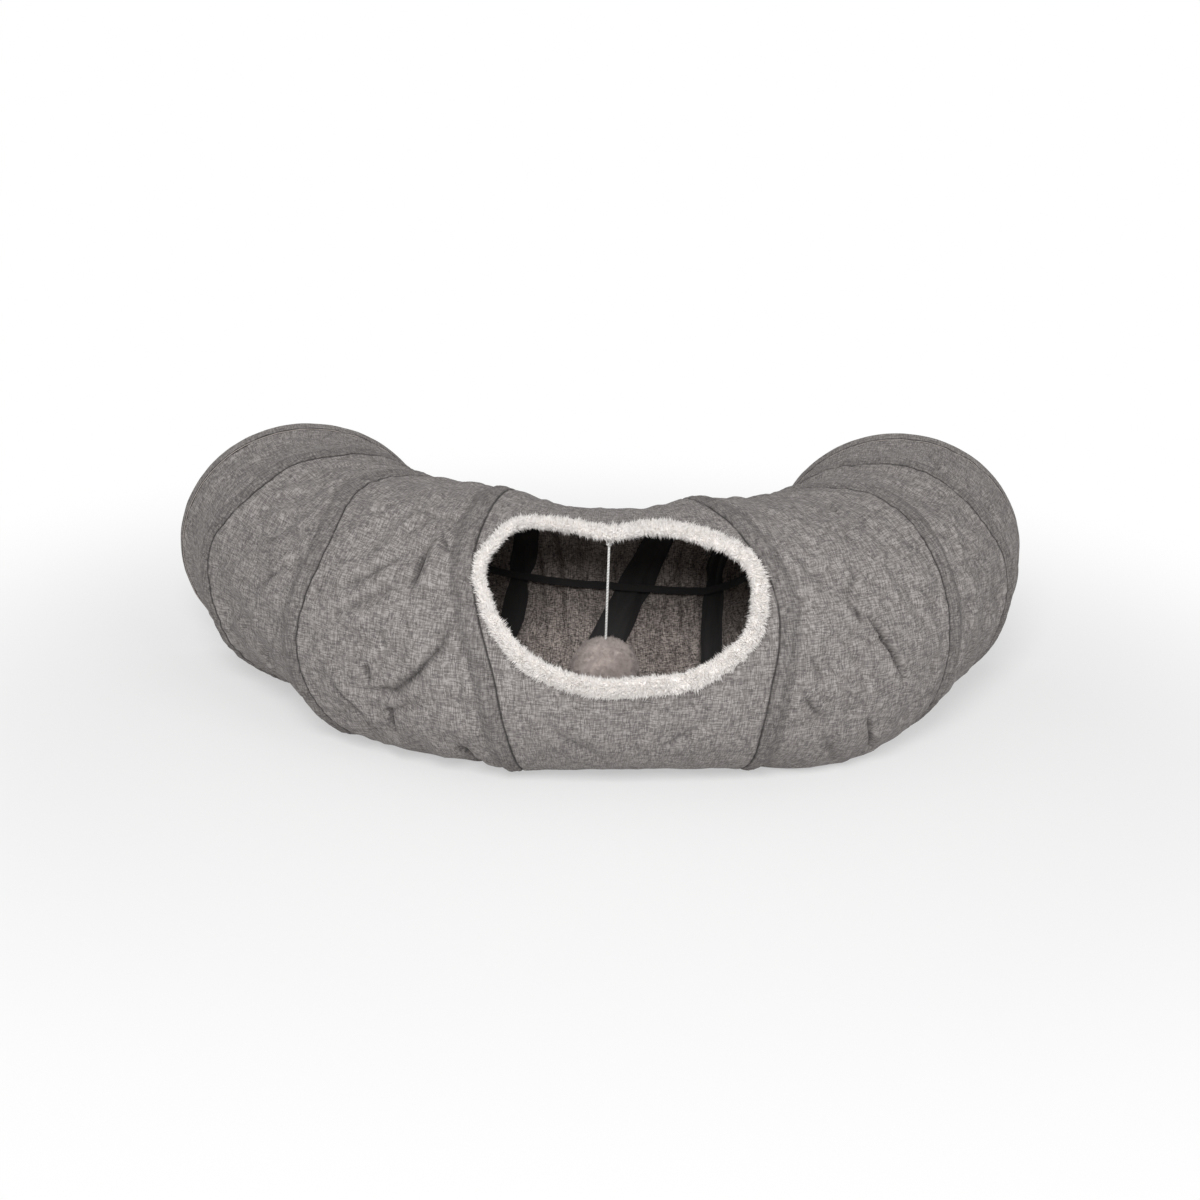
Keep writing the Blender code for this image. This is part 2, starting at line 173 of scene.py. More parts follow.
def unit_rows(vectors: Array) -> Array:
    """Vectors of length one, in the directions of the given ones."""
    return vectors / np.linalg.norm(vectors, axis=1, keepdims=True)


@dataclass(frozen=True)
class Bend:
    """The tube's plain shape: an oval section carried round an upright axis, flat where it rests."""

    radius: float = 0.300
    tube_radius: float = 0.125
    squash: float = 0.964
    centre_height: float = 0.1178
    floor_gap: float = 0.4 * MM
    settling: float = 4 * MM

    def reach(self, around: Array) -> Array:
        """Distance from the bend axis to the tube's skin."""
        return self.radius + self.tube_radius * np.sin(np.radians(around))

    def place(self, sweep: Array, around: Array, out: Array | float) -> Array:
        """Points of the tube.

        Args:
            sweep: Angles round the bend axis.
            around: Angles round the section.
            out: How far outside the plain skin each point lies.

        Returns:
            An array with a row for each point. Nothing dips below the floor.
        """
        turn, bend = np.radians(around), np.radians(sweep)
        radius = self.tube_radius + out
        rho = self.radius + radius * np.sin(turn)
        height = self.centre_height + radius * np.cos(turn) * self.squash
        lowest = self.floor_gap - np.minimum(out, 0.0)
        settled = lowest + self.settling * np.exp((height - lowest) / self.settling - 1)
        height = np.where(height < lowest + self.settling, settled, height)
        return columns_of(rho * np.sin(bend), self.radius - rho * np.cos(bend), height)

    def tangent(self, sweep: float) -> Vector:
        """Direction of rising sweep, square to the ring's plane."""
        return Vector((math.cos(math.radians(sweep)), math.sin(math.radians(sweep)), 0.0))

    def middle(self, sweep: float) -> Vector:
        """Middle of a ring."""
        turn = math.radians(sweep)
        return Vector((self.radius * math.sin(turn), self.radius - self.radius * math.cos(turn), self.centre_height))


@dataclass(frozen=True)
class SeamPlan:
    """Where the spiral seams, the wire beside them and the hems lie on the tube."""

    bend: Bend = Bend()
    rings: tuple[float, ...] = (-82.0, -63.0, -43.0, -19.5, 19.5, 45.5, 63.5, 82.0)
    lift_start: float = 144.0
    lift_end: float = 348.0
    hem_width: float = 20 * MM
    mouth_inset: float = 5.5 * MM
    pocket: float = 11 * MM
    drift: tuple[Knots, ...] = (
        ((-260, 0), (420, 0)),
        ((-156, 0), (-60, 0), (-2, 3.8), (19, 1.1), (35, 2.0), (58, -0.2), (73, -1.9), (81, -1.2), (105, 1.0),
         (150, 0), (204, 0)),
        ((-156, 0), (-90, 0), (-12, -1), (3, -1.5), (13, -2), (26, -0.4), (38, 1.2), (50, 1.9), (67, 1.5),
         (81, 0.9), (100, 0.8), (118, 1.8), (146, 3.1), (190, 0), (204, 0)),
        ((-156, 0), (-113, 0.9), (-90, -3.6), (-57, -3.6), (-20, -2), (-3, -1.6), (17, -1.0), (32, -0.7),
         (45, -0.1), (72, 3.0), (87, 4.6), (120, 6.0), (153, 6.6), (190, 1.0), (204, 0)),
        ((-156, 0), (-111, -1.4), (-87, -2.2), (-57, -3.5), (-21, -5.9), (3, -4.2), (14, -2.9), (44, -0.4),
         (60, -0.1), (72, -0.6), (91, -1.8), (115, -2.1), (151, -0.8), (190, 0), (204, 0)),
        ((-156, 0), (-124, 0.7), (-100, -1.3), (-79, -5.3), (-40, -5), (-10, -4.3), (0, -0.1), (13, 1.5),
         (31, 1.3), (50, 0.7), (66, 0.3), (83, 0), (114, 0.2), (204, 0)),
        ((-156, 0), (-60, -2), (-11, -3.5), (2, -0.9), (19, -0.1), (36, -0.9), (52, -0.4), (70, 1.5), (110, 0),
         (204, 0)),
        ((-260, 0), (420, 0)),
    )

    def ring_sweep(self, ring: Array, around: Array) -> Array:
        """Sweep of a ring, counted from the left mouth. At the mouths the wire lies inside the hem."""
        inset = np.degrees(self.mouth_inset / self.bend.reach(around))
        sweep = np.array(self.rings)[np.clip(ring, 0, 7)]
        return sweep + inset * ((ring <= 0).astype(float) - (ring >= 7).astype(float))

    def spiral(self, ring: int, around: Array) -> Array:
        """Sweep of the spiral before its drift: level in the ring's plane, then a climb to the next."""
        turns = np.floor((around - self.lift_start) / 360.0)
        local = around - self.lift_start - 360.0 * turns
        climbed = np.minimum(local / (self.lift_end - self.lift_start), 1.0)
        eased = climbed - np.sin(2 * np.pi * climbed) / (2 * np.pi)
        start = (ring + turns).astype(int)
        low, high = self.ring_sweep(start, around), self.ring_sweep(start + 1, around)
        return low + (high - low) * eased

    def outward(self, ring: int) -> int:
        """Towards which mouth a ring's wire pocket lies."""
        return -1 if ring <= 3 else 1

    def pocket_share(self, around: Array) -> Array:
        """How much of the wire pocket lies beside the seam: all on the outer side, none on the inner side."""
        return eased_table(((-260, 0), (-60, 0), (-12, 1), (146, 1), (186, 0), (420, 0)), around)

    def seam(self, ring: int, around: Array) -> Array:
        """Sweep of the sewn line of a ring."""
        return self.spiral(ring, around) + eased_table(self.drift[min(max(ring, 0), 7)], around)

    def tape(self, ring: int, around: Array) -> Array:
        """Sweep of the middle of the ring's tape."""
        shift = self.outward(ring) * self.pocket * self.pocket_share(around) / self.bend.reach(around)
        return self.seam(ring, around) + np.degrees(shift)

    def wander(self, ring: int, around: Array) -> Array:
        """How far the wire strays from the middle of its tape, in metres. More where the cloth is gathered."""
        total = around + 360.0 * ring
        ends = share((total - TURN_END) / 120.0) * share((2700.0 - total) / 120.0)
        stray = np.sin(np.radians(0.83 * total + 40.0)) + 0.5 * np.sin(np.radians(2.3 * total))
        return ends * stray * (1.0 + 2.6 * (1 - self.pocket_share(around))) * MM

    def wire(self, ring: int, around: Array) -> Array:
        """Sweep of the wire."""
        return self.tape(ring, around) + np.degrees(self.wander(ring, around) / self.bend.reach(around))

    def hem_line(self, side: Side, around: Array, inset: float | None = None) -> Array:
        """Sweep of a line in the hem, at an inset from the mouth's edge."""
        width = self.hem_width if inset is None else inset
        edge = self.rings[0] if side is Side.LEFT else self.rings[-1]
        return edge - side.value * np.degrees(width / self.bend.reach(around))

    def strip_edges(self, strip: int, around: Array) -> Pair:
        """Sweeps of the two edges of a cloth strip, cut short by the hems."""
        low, high = self.hem_line(Side.LEFT, around), self.hem_line(Side.RIGHT, around)
        left = low if strip == 0 else np.clip(self.seam(strip, around), low, high)
        right = np.clip(self.seam(strip + 1, around), low, high)
        if strip == 6:
            right = np.where(around > self.lift_end - 360.0, high, right)
        return left, right


@dataclass(frozen=True)
class Crease:
    """A crease in the cloth: a line of places, its half width and its depth, both in millimetres.

    A negative depth is a raised fold. The lip is the height of the cloth pushed up along one side.
    """

    line: Knots
    half_width: float
    depth: float
    lip: float = 0.0


CREASES: tuple[Crease, ...] = tuple(Crease(*row) for row in (
    (((-26.9, 36.0), (-26.8, 44.1), (-27.2, 56.0)), 8.5, 7.2, 3.4),
    (((-24.5, 14.0), (-24.5, 27.5)), 3.5, 3.0, 1.0),
    (((-25.8, 29.7), (-23.2, 38.4)), 3.0, 2.8, 1.0),
    (((-31.5, 18.5), (-27.6, 21.2), (-25.0, 20.0)), 4.0, 2.4, 1.0),
    (((-29.0, 39.0), (-32.6, 51.9), (-38.0, 67.0)), 7.0, 2.8, 1.0),
    (((-28.0, 54.0), (-32.5, 63.9), (-37.0, 75.5)), 7.0, 2.2, 0.8),
    (((-20.6, 62.0), (-21.6, 76.6), (-24.5, 90.3), (-27.7, 101.8), (-32.2, 104.6)), 5.5, 4.2, 2.2),
    (((-31.7, 92.0), (-31.4, 100.6)), 4.5, 3.8, 1.2),
    (((-29.0, 110.0), (-29.4, 128.0)), 4.5, 3.6, 1.0),
    (((-44.6, 35.0), (-43.6, 52.9), (-43.9, 70.7), (-43.3, 88.0)), 6.0, 2.2),
    (((-46.5, 60.0), (-50.0, 71.0), (-53.6, 82.0)), 5.0, 2.4, 0.8),
    (((-49.6, 75.0), (-52.2, 99.0)), 4.5, -1.8),
    (((-45.0, 78.0), (-48.9, 106.0)), 6.0, 2.0, 0.8),
    (((-74.6, 12.0), (-72.9, 26.7), (-72.2, 43.0)), 4.5, 1.6),
    (((-67.7, -24.0), (-62.6, -4.8), (-61.4, 16.0)), 4.0, 2.6),
    (((-38.0, 100.0), (-34.0, 118.0), (-33.0, 134.0)), 7.0, 2.6, 1.0),
    (((-20.5, 128.0), (-19.6, 158.0)), 11.0, 7.0),
    (((37.8, 6.5), (36.9, 12.5), (36.0, 18.5)), 2.6, 2.8, 0.8),
    (((34.8, 25.5), (33.7, 34.5)), 2.4, 2.2, 0.6),
    (((32.4, 45.0), (30.3, 55.1), (29.3, 62.0)), 5.5, 2.6, 0.8),
    (((30.2, 62.5), (31.0, 70.0)), 5.5, 3.6, 1.0),
    (((31.5, 66.0), (32.9, 73.9), (34.2, 82.7), (37.0, 100.0)), 3.0, 4.6, 1.8),
    (((23.3, 79.0), (24.3, 92.5)), 2.8, 2.8, 0.8),
    (((21.6, 94.5), (24.8, 109.0)), 4.4, 3.2, 1.0),
    (((32.0, 113.0), (35.9, 135.0)), 4.0, 3.6, 1.2),
    (((26.0, 118.0), (30.5, 138.0)), 7.0, 2.4, 1.0),
    (((56.2, 25.0), (53.8, 44.7), (51.3, 60.0), (52.3, 84.0)), 4.5, -2.2),
    (((55.5, 52.0), (55.7, 77.2), (56.5, 95.0)), 5.5, 2.4),
    (((49.5, 40.0), (48.6, 62.0), (49.4, 90.0)), 4.5, 2.0),
    (((74.0, 11.0), (67.0, 22.5)), 3.4, 2.4, 0.8),
    (((71.0, 40.0), (69.0, 66.0), (70.5, 95.0)), 6.0, 2.0, 0.8),
    (((26.6, 26.0), (21.9, 52.5), (20.6, 70.0)), 5.0, -1.4),
    (((-9.0, 108.0), (-2.0, 132.0)), 9.0, 1.8, 0.8),
    (((10.5, 104.0), (4.0, 128.0)), 9.0, 1.8, 0.8),
))


@dataclass(frozen=True)
class ClothForm:
    """The relief of the sewn cloth over the plain tube: rings, slack bays, pockets, creases and gathers.

    The tables say, in millimetres, how far out each ring carries the cloth and how far in each bay sinks, at
    the around angles that stand under them.
    """

    plan: SeamPlan = SeamPlan()
    ring_out: tuple[tuple[float, ...], ...] = (
        (-4, -2, 0, 0), (0, 0, -3, -5), (-1, 0, 2, 6), (7, 2, 1, 4), (3, 0, 0, 4), (-5, 0, 2, 9), (-2, -3, -3, -2),
        (-2, -4, -4, 0),
    )
    ring_around: tuple[float, ...] = (-10.0, 60.0, 100.0, 148.0)
    slack: tuple[tuple[float, ...], ...] = (
        (5, 9, 9), (4, 8, 13), (-2, 1, 1), (11, 3, 8), (4, 1, -13), (3, 3, 2), (3, 2, 1),
    )
    slack_around: tuple[float, ...] = (-15.0, 75.0, 147.0)
    table_blur: float = 8.0
    cloth: float = 0.8 * MM
    ditch: float = 1.1 * MM

    def rings_lie(self, sweep: Array, around: Array) -> Array:
        """How far outside the plain tube the rings carry the cloth, in metres."""
        knots = [((-105, 0), *zip(self.ring_around, values), (186, 0)) for values in self.ring_out]
        table = np.array([eased_table(row, around, self.table_blur) for row in knots])
        rings = np.array(self.plan.rings)
        after = np.clip(np.searchsorted(rings, sweep), 1, 7)
        past = share((sweep - rings[after - 1]) / (rings[after] - rings[after - 1]))
        column = np.arange(len(sweep))
        return MM * (table[after - 1, column] * (1 - past) + table[after, column] * past)

    def creases(self, sweep: Array, around: Array) -> Pair:
        """Depth of the creases at each place, in metres, and the shade painted into their bottoms."""
        depth, dark = np.zeros_like(sweep), np.zeros_like(sweep)
        for crease in CREASES:
            line = np.array(crease.line)
            scale, tube = self.plan.bend.reach(line[:, 1].mean()), self.plan.bend.tube_radius
            points = np.radians(line) * (scale, tube) / MM
            x, y = np.radians(sweep) * scale / MM, np.radians(around) * tube / MM
            reach = 4 * crease.half_width
            near = (x > points[:, 0].min() - reach) & (x < points[:, 0].max() + reach)
            near &= (y > points[:, 1].min() - reach) & (y < points[:, 1].max() + reach)
            if not near.any():
                continue
            xs, ys = x[near], y[near]
            best = np.full(len(xs), 1e9)
            signed, along = np.zeros(len(xs)), np.zeros(len(xs))
            lengths = np.linalg.norm(np.diff(points, axis=0), axis=1)
            total, run = lengths.sum(), 0.0
            for (ax, ay), (bx, by), length in zip(points, points[1:], lengths):
                ux, uy = (bx - ax) / length, (by - ay) / length
                t = np.clip((xs - ax) * ux + (ys - ay) * uy, 0, length)
                dx, dy = xs - ax - t * ux, ys - ay - t * uy
                gap = np.hypot(dx, dy)
                nearer = gap < best
                best = np.where(nearer, gap, best)
                signed = np.where(nearer, dx * uy - dy * ux, signed)
                along = np.where(nearer, (run + t) / total, along)
                run += length
            fade = np.sin(np.pi * share(0.08 + 0.84 * along)) ** 0.7
            valley = bell(best, 0.8 * crease.half_width)
            sharp = bell(best, 0.2 * crease.half_width + 1.0)
            lip = bell(signed - 1.5 * crease.half_width, crease.half_width) * (best < reach)
            depth[near] += MM * fade * (crease.depth * (1.05 * valley + 0.65 * sharp) - 1.7 * crease.lip * lip)
            # Painted shade: the bottoms of deep creases are darkened, where shade falls into them.
            hidden = np.clip(crease.depth / 3.6 - 0.28, 0.0, 0.95) * fade ** 2
            dark[near] = np.maximum(dark[near], hidden * bell(best, 0.26 * crease.half_width + 0.7))
        return depth, dark

    def crumple(self, points: Array, sweep: Array, around: Array) -> Array:
        """Soft unevenness of slack cloth, in metres: broad swells and fine folds that run at a slant."""
        arc = np.radians(sweep) * 0.38
        girth = np.radians(around) * self.plan.bend.tube_radius
        tilt = np.where(sweep < 0, 1.0, -1.0) * share(np.abs(sweep) / 12.0)
        warp = 0.010 * soft_noise(points / 0.05, 1)
        u, v = arc + tilt * 0.55 * girth + warp, girth - tilt * 0.55 * arc
        ridge = 1.0 - 2.6 * np.abs(soft_noise(columns_of(u / 0.034, v / 0.095), 2))
        fold = np.maximum(0.0, 1.0 - 7.0 * np.abs(soft_noise(columns_of(u / 0.046, v / 0.10), 3)))
        shown = share(0.45 + 2.6 * soft_noise(points / 0.045, 4))
        swells = 2.8 * soft_noise(points / 0.060, 5) + 3.8 * soft_noise(points / 0.029, 6)
        swells += 0.7 * soft_noise(points / 0.012, 7)
        calm = self.calm(sweep, around)
        return MM * calm * (swells + 3.5 * (ridge - 0.45) - 4.6 * shown * fold * fold)

    def calm(self, sweep: Array, around: Array) -> Array:
        """How much of the crumpling shows: less in the middle bay, on top, on the inner side and at the mouths."""
        inner, top = half_turn(around + 90.0), half_turn(around)
        calm = 0.35 + 0.65 * share((np.abs(sweep) - 14.0) / 8.0)
        calm = calm * (1 - 0.62 * bell(inner, 48.0)) * (1 - 0.45 * bell(top, 22.0))
        calm = calm * (1 - 0.5 * share((np.abs(sweep) - 66.0) / 6.0))
        return calm * (1 - 0.45 * bell(around - 135.0, 28.0) * (sweep > 16.0))

    def puckers(self, ring: int, gap: Array, around: Array) -> Array:
        """Short wrinkles square to a sewn line, in metres."""
        waves = soft_noise(columns_of(around / 4.6, ring * 5.7), 8)
        waves = waves + 0.6 * soft_noise(columns_of(around / 2.2, ring * 3.3), 9)
        return 1.5 * MM * waves * bell(np.abs(gap) - 5 * MM, 6 * MM)

    def gathers(self, sweep: Array, around: Array) -> Array:
        """Upright pleats on the inner side, where the strap has drawn the cloth in, in metres."""
        turn = half_turn(around + 90.0)
        u, v = sweep / 6.6, np.radians(turn) * self.plan.bend.tube_radius / 0.11
        pleat, finer = soft_noise(columns_of(u, v), 10), soft_noise(columns_of(u * 2.3, v * 1.6), 12)
        return -MM * bell(turn, 58.0) * (6.0 * (0.5 - 2.2 * np.abs(pleat)) + 2.0 * finer)

    def surface(self, sweep: Array, around: Array) -> Array:
        """Outward offset of the cloth at any place, without its sewn lines, in metres."""
        strip = sum((sweep > self.plan.seam(ring, around)).astype(int) for ring in range(1, 8))
        tail = (strip == 7) & (around < self.plan.lift_end - 360.0)
        turned = np.where(tail, around + 360.0, around)
        out = np.zeros_like(sweep)
        for number in range(7):
            here = (strip == number) | ((number == 6) & (strip == 7))
            if here.any():
                out[here] = self.relief(number, sweep[here], turned[here], sewn=False)[0]
        return out

    def relief(self, strip: int, sweep: Array, around: Array, sewn: bool = True) -> Pair:
        """Outward offset of the cloth, and the shade painted along its sewn lines and in its creases, at places on one
        strip.

        Args:
            strip: The strip of cloth, counted from the left mouth.
            sweep: Angles round the bend axis.
            around: Angles round the section.
            sewn: Whether the ditches and puckers of the sewn lines are counted.

        Returns:
            Offsets in metres, and darkness from 0 to 1: painted shade, and the darkening over the wire pockets.
        """
        plan, reach = self.plan, self.plan.bend.reach(around)
        left, right = plan.strip_edges(strip, around)
        from_left = np.radians(sweep - left) * reach
        from_right = np.radians(right - sweep) * reach
        width = np.maximum(from_left + from_right, 1e-6)
        shown = plan.pocket_share(around)
        pocket = 2 * plan.pocket * shown
        inner_half = 0.6 * plan.pocket * (1 - shown)
        tight_left = inner_half + (pocket if plan.outward(strip) > 0 and strip > 0 else 0.0)
        tight_right = inner_half + (pocket if plan.outward(strip + 1) < 0 and strip < 6 else 0.0)
        narrow = share(width / 0.06)
        span = np.maximum(width - (tight_left + tight_right) * narrow, 1e-6)
        bow = np.sin(np.pi * share((from_left - tight_left * narrow) / span)) ** 0.75
        depths = self.slack[strip]
        knots = ((-100, 0), *zip(self.slack_around, depths), (188, 0), (250, 0), (345, depths[0]))
        slack = eased_table(knots, around, self.table_blur)
        loose = share(width / 0.05 - 0.4)
        base = self.rings_lie(sweep, around) - MM * slack * bow * loose
        free = share(np.minimum(from_left - tight_left * 0.8, from_right - tight_right * 0.8) / 0.014)
        free = free * free * (3 - 2 * free)
        points = plan.bend.place(sweep, around, base)
        resting = share((points[:, 2] - 3 * MM) / (25 * MM))
        base += self.crumple(points, sweep, around) * (0.10 + 0.90 * free) * (0.25 + 0.75 * resting)
        depth, dark = self.creases(sweep, around)
        base -= depth * (0.15 + 0.85 * free)
        base += self.gathers(sweep, around) * free * loose
        for ring, gap, facing in ((strip, from_left, 1), (strip + 1, from_right, -1)):
            pull = 0.75 + 0.5 * soft_noise(columns_of(around / 9.0, ring * 3.1), 13)
            ditch = bell(gap, self.ditch)
            if sewn:
                base -= MM * 1.4 * pull * ditch
                base += self.puckers(ring, gap, around)
            # Painted shade: a dark line along the sewn line, for the shadow in its groove.
            dark = np.maximum(dark, ditch * np.clip(1.5 * pull, 0.4, 1.0))
            if ring not in (0, 7):
                over = gap if plan.outward(ring) * facing > 0 else -gap
                height, shade = self.pocket_relief(ring, over, around, shown)
                base += height
                dark = np.maximum(dark, shade)
        return base, dark

    def pocket_relief(self, ring: int, over: Array, around: Array, shown: Array) -> Pair:
        """Outward offset and darkness of a ring's wire pocket, at distances over it from the sewn line."""
        plan, beside = self.plan, over > 0
        centre = plan.pocket * shown
        stray = plan.wander(ring, around) * plan.outward(ring)
        height = MM * shown * 0.9 * bell(over - 2.8 * MM, 2.2 * MM) * beside
        height = height + MM * 2.8 * bell(over - centre - stray, 4.2 * MM) * (0.35 + 0.65 * shown)
        height = height - MM * 1.3 * shown * bell(over - 2 * centre, 2.2 * MM) * beside
        lined = share((plan.pocket + 1.5 * MM - np.abs(over - centre)) / (3 * MM)) * beside
        return height, 0.30 * shown * lined


@dataclass(frozen=True)
class Sleeve:
    """A length of the tunnel round one ring: what it rides on, how it folds, and whose cloth and tape it holds."""

    name: str
    low: float
    high: float
    body: str
    ring: float | None = None
    joint: str = ""
    panels: tuple[str, ...] = ()
    tapes: tuple[str, ...] = ()


SLEEVES: tuple[Sleeve, ...] = (
    Sleeve("left_mouth", -95.0, -72.5, "left_mouth", -82.0, "left_fold_1",
           ("left_panel_3",), ("left_wire_tape_3",)),
    Sleeve("left_second", -72.5, -53.0, "left_bay_2", -63.0, "left_fold_1",
           ("left_panel_2", "left_panel_3"), ("left_wire_tape_3", "left_wire_tape_2")),
    Sleeve("left_first", -53.0, -31.25, "left_bay_1", -43.0, "left_fold_1",
           ("left_panel_1", "left_panel_2"), ("left_wire_tape_2",)),
    Sleeve("left_shoulder", -31.25, -19.5, "peephole_bay", -19.5, "left_fold_1",
           ("left_panel_1", "peephole_panel"), ("left_wire_tape_1",)),
    Sleeve("middle", -19.5, 19.5, "peephole_bay", None, "",
           ("peephole_panel",), ("left_wire_tape_1", "right_wire_tape_1")),
    Sleeve("right_shoulder", 19.5, 32.5, "peephole_bay", 19.5, "right_fold_1",
           ("right_panel_1",), ("right_wire_tape_1",)),
    Sleeve("right_first", 32.5, 54.5, "right_bay_1", 45.5, "right_fold_1",
           ("right_panel_1", "right_panel_2"), ("right_wire_tape_2",)),
    Sleeve("right_second", 54.5, 72.75, "right_bay_2", 63.5, "right_fold_1",
           ("right_panel_2", "right_panel_3"), ("right_wire_tape_3",)),
    Sleeve("right_mouth", 72.75, 95.0, "right_mouth", 82.0, "right_fold_1",
           ("right_panel_3",), ("right_wire_tape_4",)),
)


def linear(hex_code: str) -> tuple[float, float, float, float]:
    """Turns an sRGB hex colour into the linear values that Blender's sockets take."""
    channels = [int(hex_code[i:i + 2], 16) / 255 for i in (1, 3, 5)]
    values = [c / 12.92 if c <= 0.04045 else ((c + 0.055) / 1.055) ** 2.4 for c in channels]
    return values[0], values[1], values[2], 1.0


def add_node(tree: NodeTree, kind: str, settings: dict | None = None,
             links: dict | None = None) -> Node:
    """Adds a node to a material or a world.

    Args:
        tree: The node tree.
        kind: The node's type name, without the word ShaderNode in front.
        settings: Its properties by name, and its input values by socket name or number.
        links: Output sockets by the name or number of the input that they feed.

    Returns:
        The new node.
    """
    made = tree.nodes.new("ShaderNode" + kind)
    for key, value in (settings or {}).items():
        if isinstance(key, str) and hasattr(made, key):
            setattr(made, key, value)
        else:
            made.inputs[key].default_value = value
    feed(tree, made, links or {})
    return made


def feed(tree: NodeTree, node: Node, links: dict) -> None:
    """Links output sockets to a node's inputs, by the inputs' names or numbers."""
    for key, socket in links.items():
        tree.links.new(socket, node.inputs[key])


@dataclass(frozen=True)
class Finish:
    """A finish with a Principled shader: its name, roughness, metallic share and sheen."""

    name: str
    roughness: float = 0.9
    metallic: float = 0.0
    sheen: float = 0.0

    def start(self) -> tuple[Material, NodeTree, Node]:
        """Makes the material with its plain settings."""
        material = bpy.data.materials.new(self.name)
        material.use_nodes = True
        shader = material.node_tree.nodes["Principled BSDF"]
        shader.inputs["Roughness"].default_value = self.roughness
        shader.inputs["Metallic"].default_value = self.metallic
        shader.inputs["Sheen Weight"].default_value = self.sheen
        return material, material.node_tree, shader


@dataclass(frozen=True)
class HeatherCloth(Finish):
    """Linen-look polyester: slubbed yarns of three greys, in a plain weave.

    The real yarns are about 0.4 mm apart. They are drawn wider, so that the weave shows. The tube's inside has
    greys of its own, where the attribute "lining" is one. A second attribute holds painted shade: a dark line
    along each sewn line for the shadow in its groove, and dark bottoms in the deep creases. It also darkens the
    cloth over the wire pockets.
    """

    name: str = "heather_polyester_canvas"
    roughness: float = 0.95
    pale: str = "#AEA9A6"
    middle: str = "#827D7B"
    deep: str = "#54504F"
    # Painted shade: sewn lines and crease bottoms darken towards this grey; the cloth over the wire pockets darkens
    # towards it too.
    shade_and_pocket_grey: str = "#2A2827"
    lining: tuple[str, str, str] = ("#1D1716", "#7F7671", "#CABDB6")
    yarn: float = 0.85 * MM
    slub: float = 5.0 * MM
    patches_per_metre: float = 28.0

    def make(self) -> Material:
        """Builds the material."""
        material, tree, shader = self.start()
        uv = add_node(tree, "UVMap", {"uv_map": "cloth"})
        yarns = [self.slubs(tree, uv.outputs[0], turn) for turn in (0.0, math.pi / 2)]
        both = add_node(tree, "Math", {"operation": "ADD"}, {0: yarns[0], 1: yarns[1]})
        size = self.patches_per_metre
        patch = add_node(tree, "Mapping", {"Scale": (size, size, 1.0)}, {"Vector": uv.outputs[0]})
        mottle = add_node(tree, "TexNoise", {"Scale": 1.0, "Detail": 1.0}, {"Vector": patch.outputs[0]})
        mixed = add_node(tree, "Math", {"operation": "MULTIPLY_ADD", 1: 0.35},
                         {0: mottle.outputs["Fac"], 2: both.outputs[0]})
        level = add_node(tree, "MapRange", {"From Min": -0.10, "From Max": 2.45}, {"Value": mixed.outputs[0]})
        face = self.greys(tree, level.outputs[0], (self.deep, self.middle, self.pale))
        inside = self.greys(tree, level.outputs[0], self.lining)
        lining = add_node(tree, "Attribute", {"attribute_name": "lining"})
        cloth = add_node(tree, "Mix", {"data_type": "RGBA"}, {0: lining.outputs["Fac"], 6: face, 7: inside})
        # Painted shade: the second attribute darkens sewn lines and crease bottoms towards a near-black grey, and the
        # cloth over the wire pockets as well.
        stitch = add_node(tree, "Attribute", {"attribute_name": "stitch"})
        shade = add_node(tree, "Math", {"operation": "MULTIPLY", 1: 0.95}, {0: stitch.outputs["Fac"]})
        sewn = add_node(tree, "Mix", {"data_type": "RGBA", 7: linear(self.shade_and_pocket_grey)},
                        {0: shade.outputs[0], 6: cloth.outputs[2]})
        bump = add_node(tree, "Bump", {"Strength": 0.4, "Distance": 0.06 * MM}, {"Height": level.outputs[0]})
        feed(tree, shader, {"Base Color": sewn.outputs[2], "Normal": bump.outputs[0]})
        return material

    def greys(self, tree: NodeTree, level: NodeSocket, colours: tuple[str, str, str]) -> NodeSocket:
        """The greys of one side of the cloth, from deep to pale."""
        ramp = add_node(tree, "ValToRGB", {}, {0: level})
        points = ramp.color_ramp.elements
        points[0].position, points[0].color = 0.10, linear(colours[0])
        points[1].position, points[1].color = 0.90, linear(colours[2])
        points.new(0.5).color = linear(colours[1])
        return ramp.outputs[0]

    def slubs(self, tree: NodeTree, place: NodeSocket, turn: float) -> NodeSocket:
        """One set of yarns: each changes its grey every few millimetres, at places of its own."""
        turned = add_node(tree, "Mapping", {"Rotation": (0.0, 0.0, turn)}, {"Vector": place})
        split = add_node(tree, "SeparateXYZ", {}, {0: turned.outputs[0]})
        across = add_node(tree, "Math", {"operation": "MULTIPLY", 1: 1 / self.yarn}, {0: split.outputs["Y"]})
        number = add_node(tree, "Math", {"operation": "FLOOR"}, {0: across.outputs[0]})
        own = add_node(tree, "TexWhiteNoise", {"noise_dimensions": "1D"}, {"W": number.outputs[0]})
        shift = add_node(tree, "Math", {"operation": "MULTIPLY_ADD", 1: 1 / self.slub},
                         {0: split.outputs["X"], 2: own.outputs[0]})
        along = add_node(tree, "Math", {"operation": "FLOOR"}, {0: shift.outputs[0]})
        cell = add_node(tree, "CombineXYZ", {}, {0: along.outputs[0], 1: number.outputs[0]})
        grey = add_node(tree, "TexWhiteNoise", {"noise_dimensions": "2D"}, {"Vector": cell.outputs[0]})
        return grey.outputs[0]


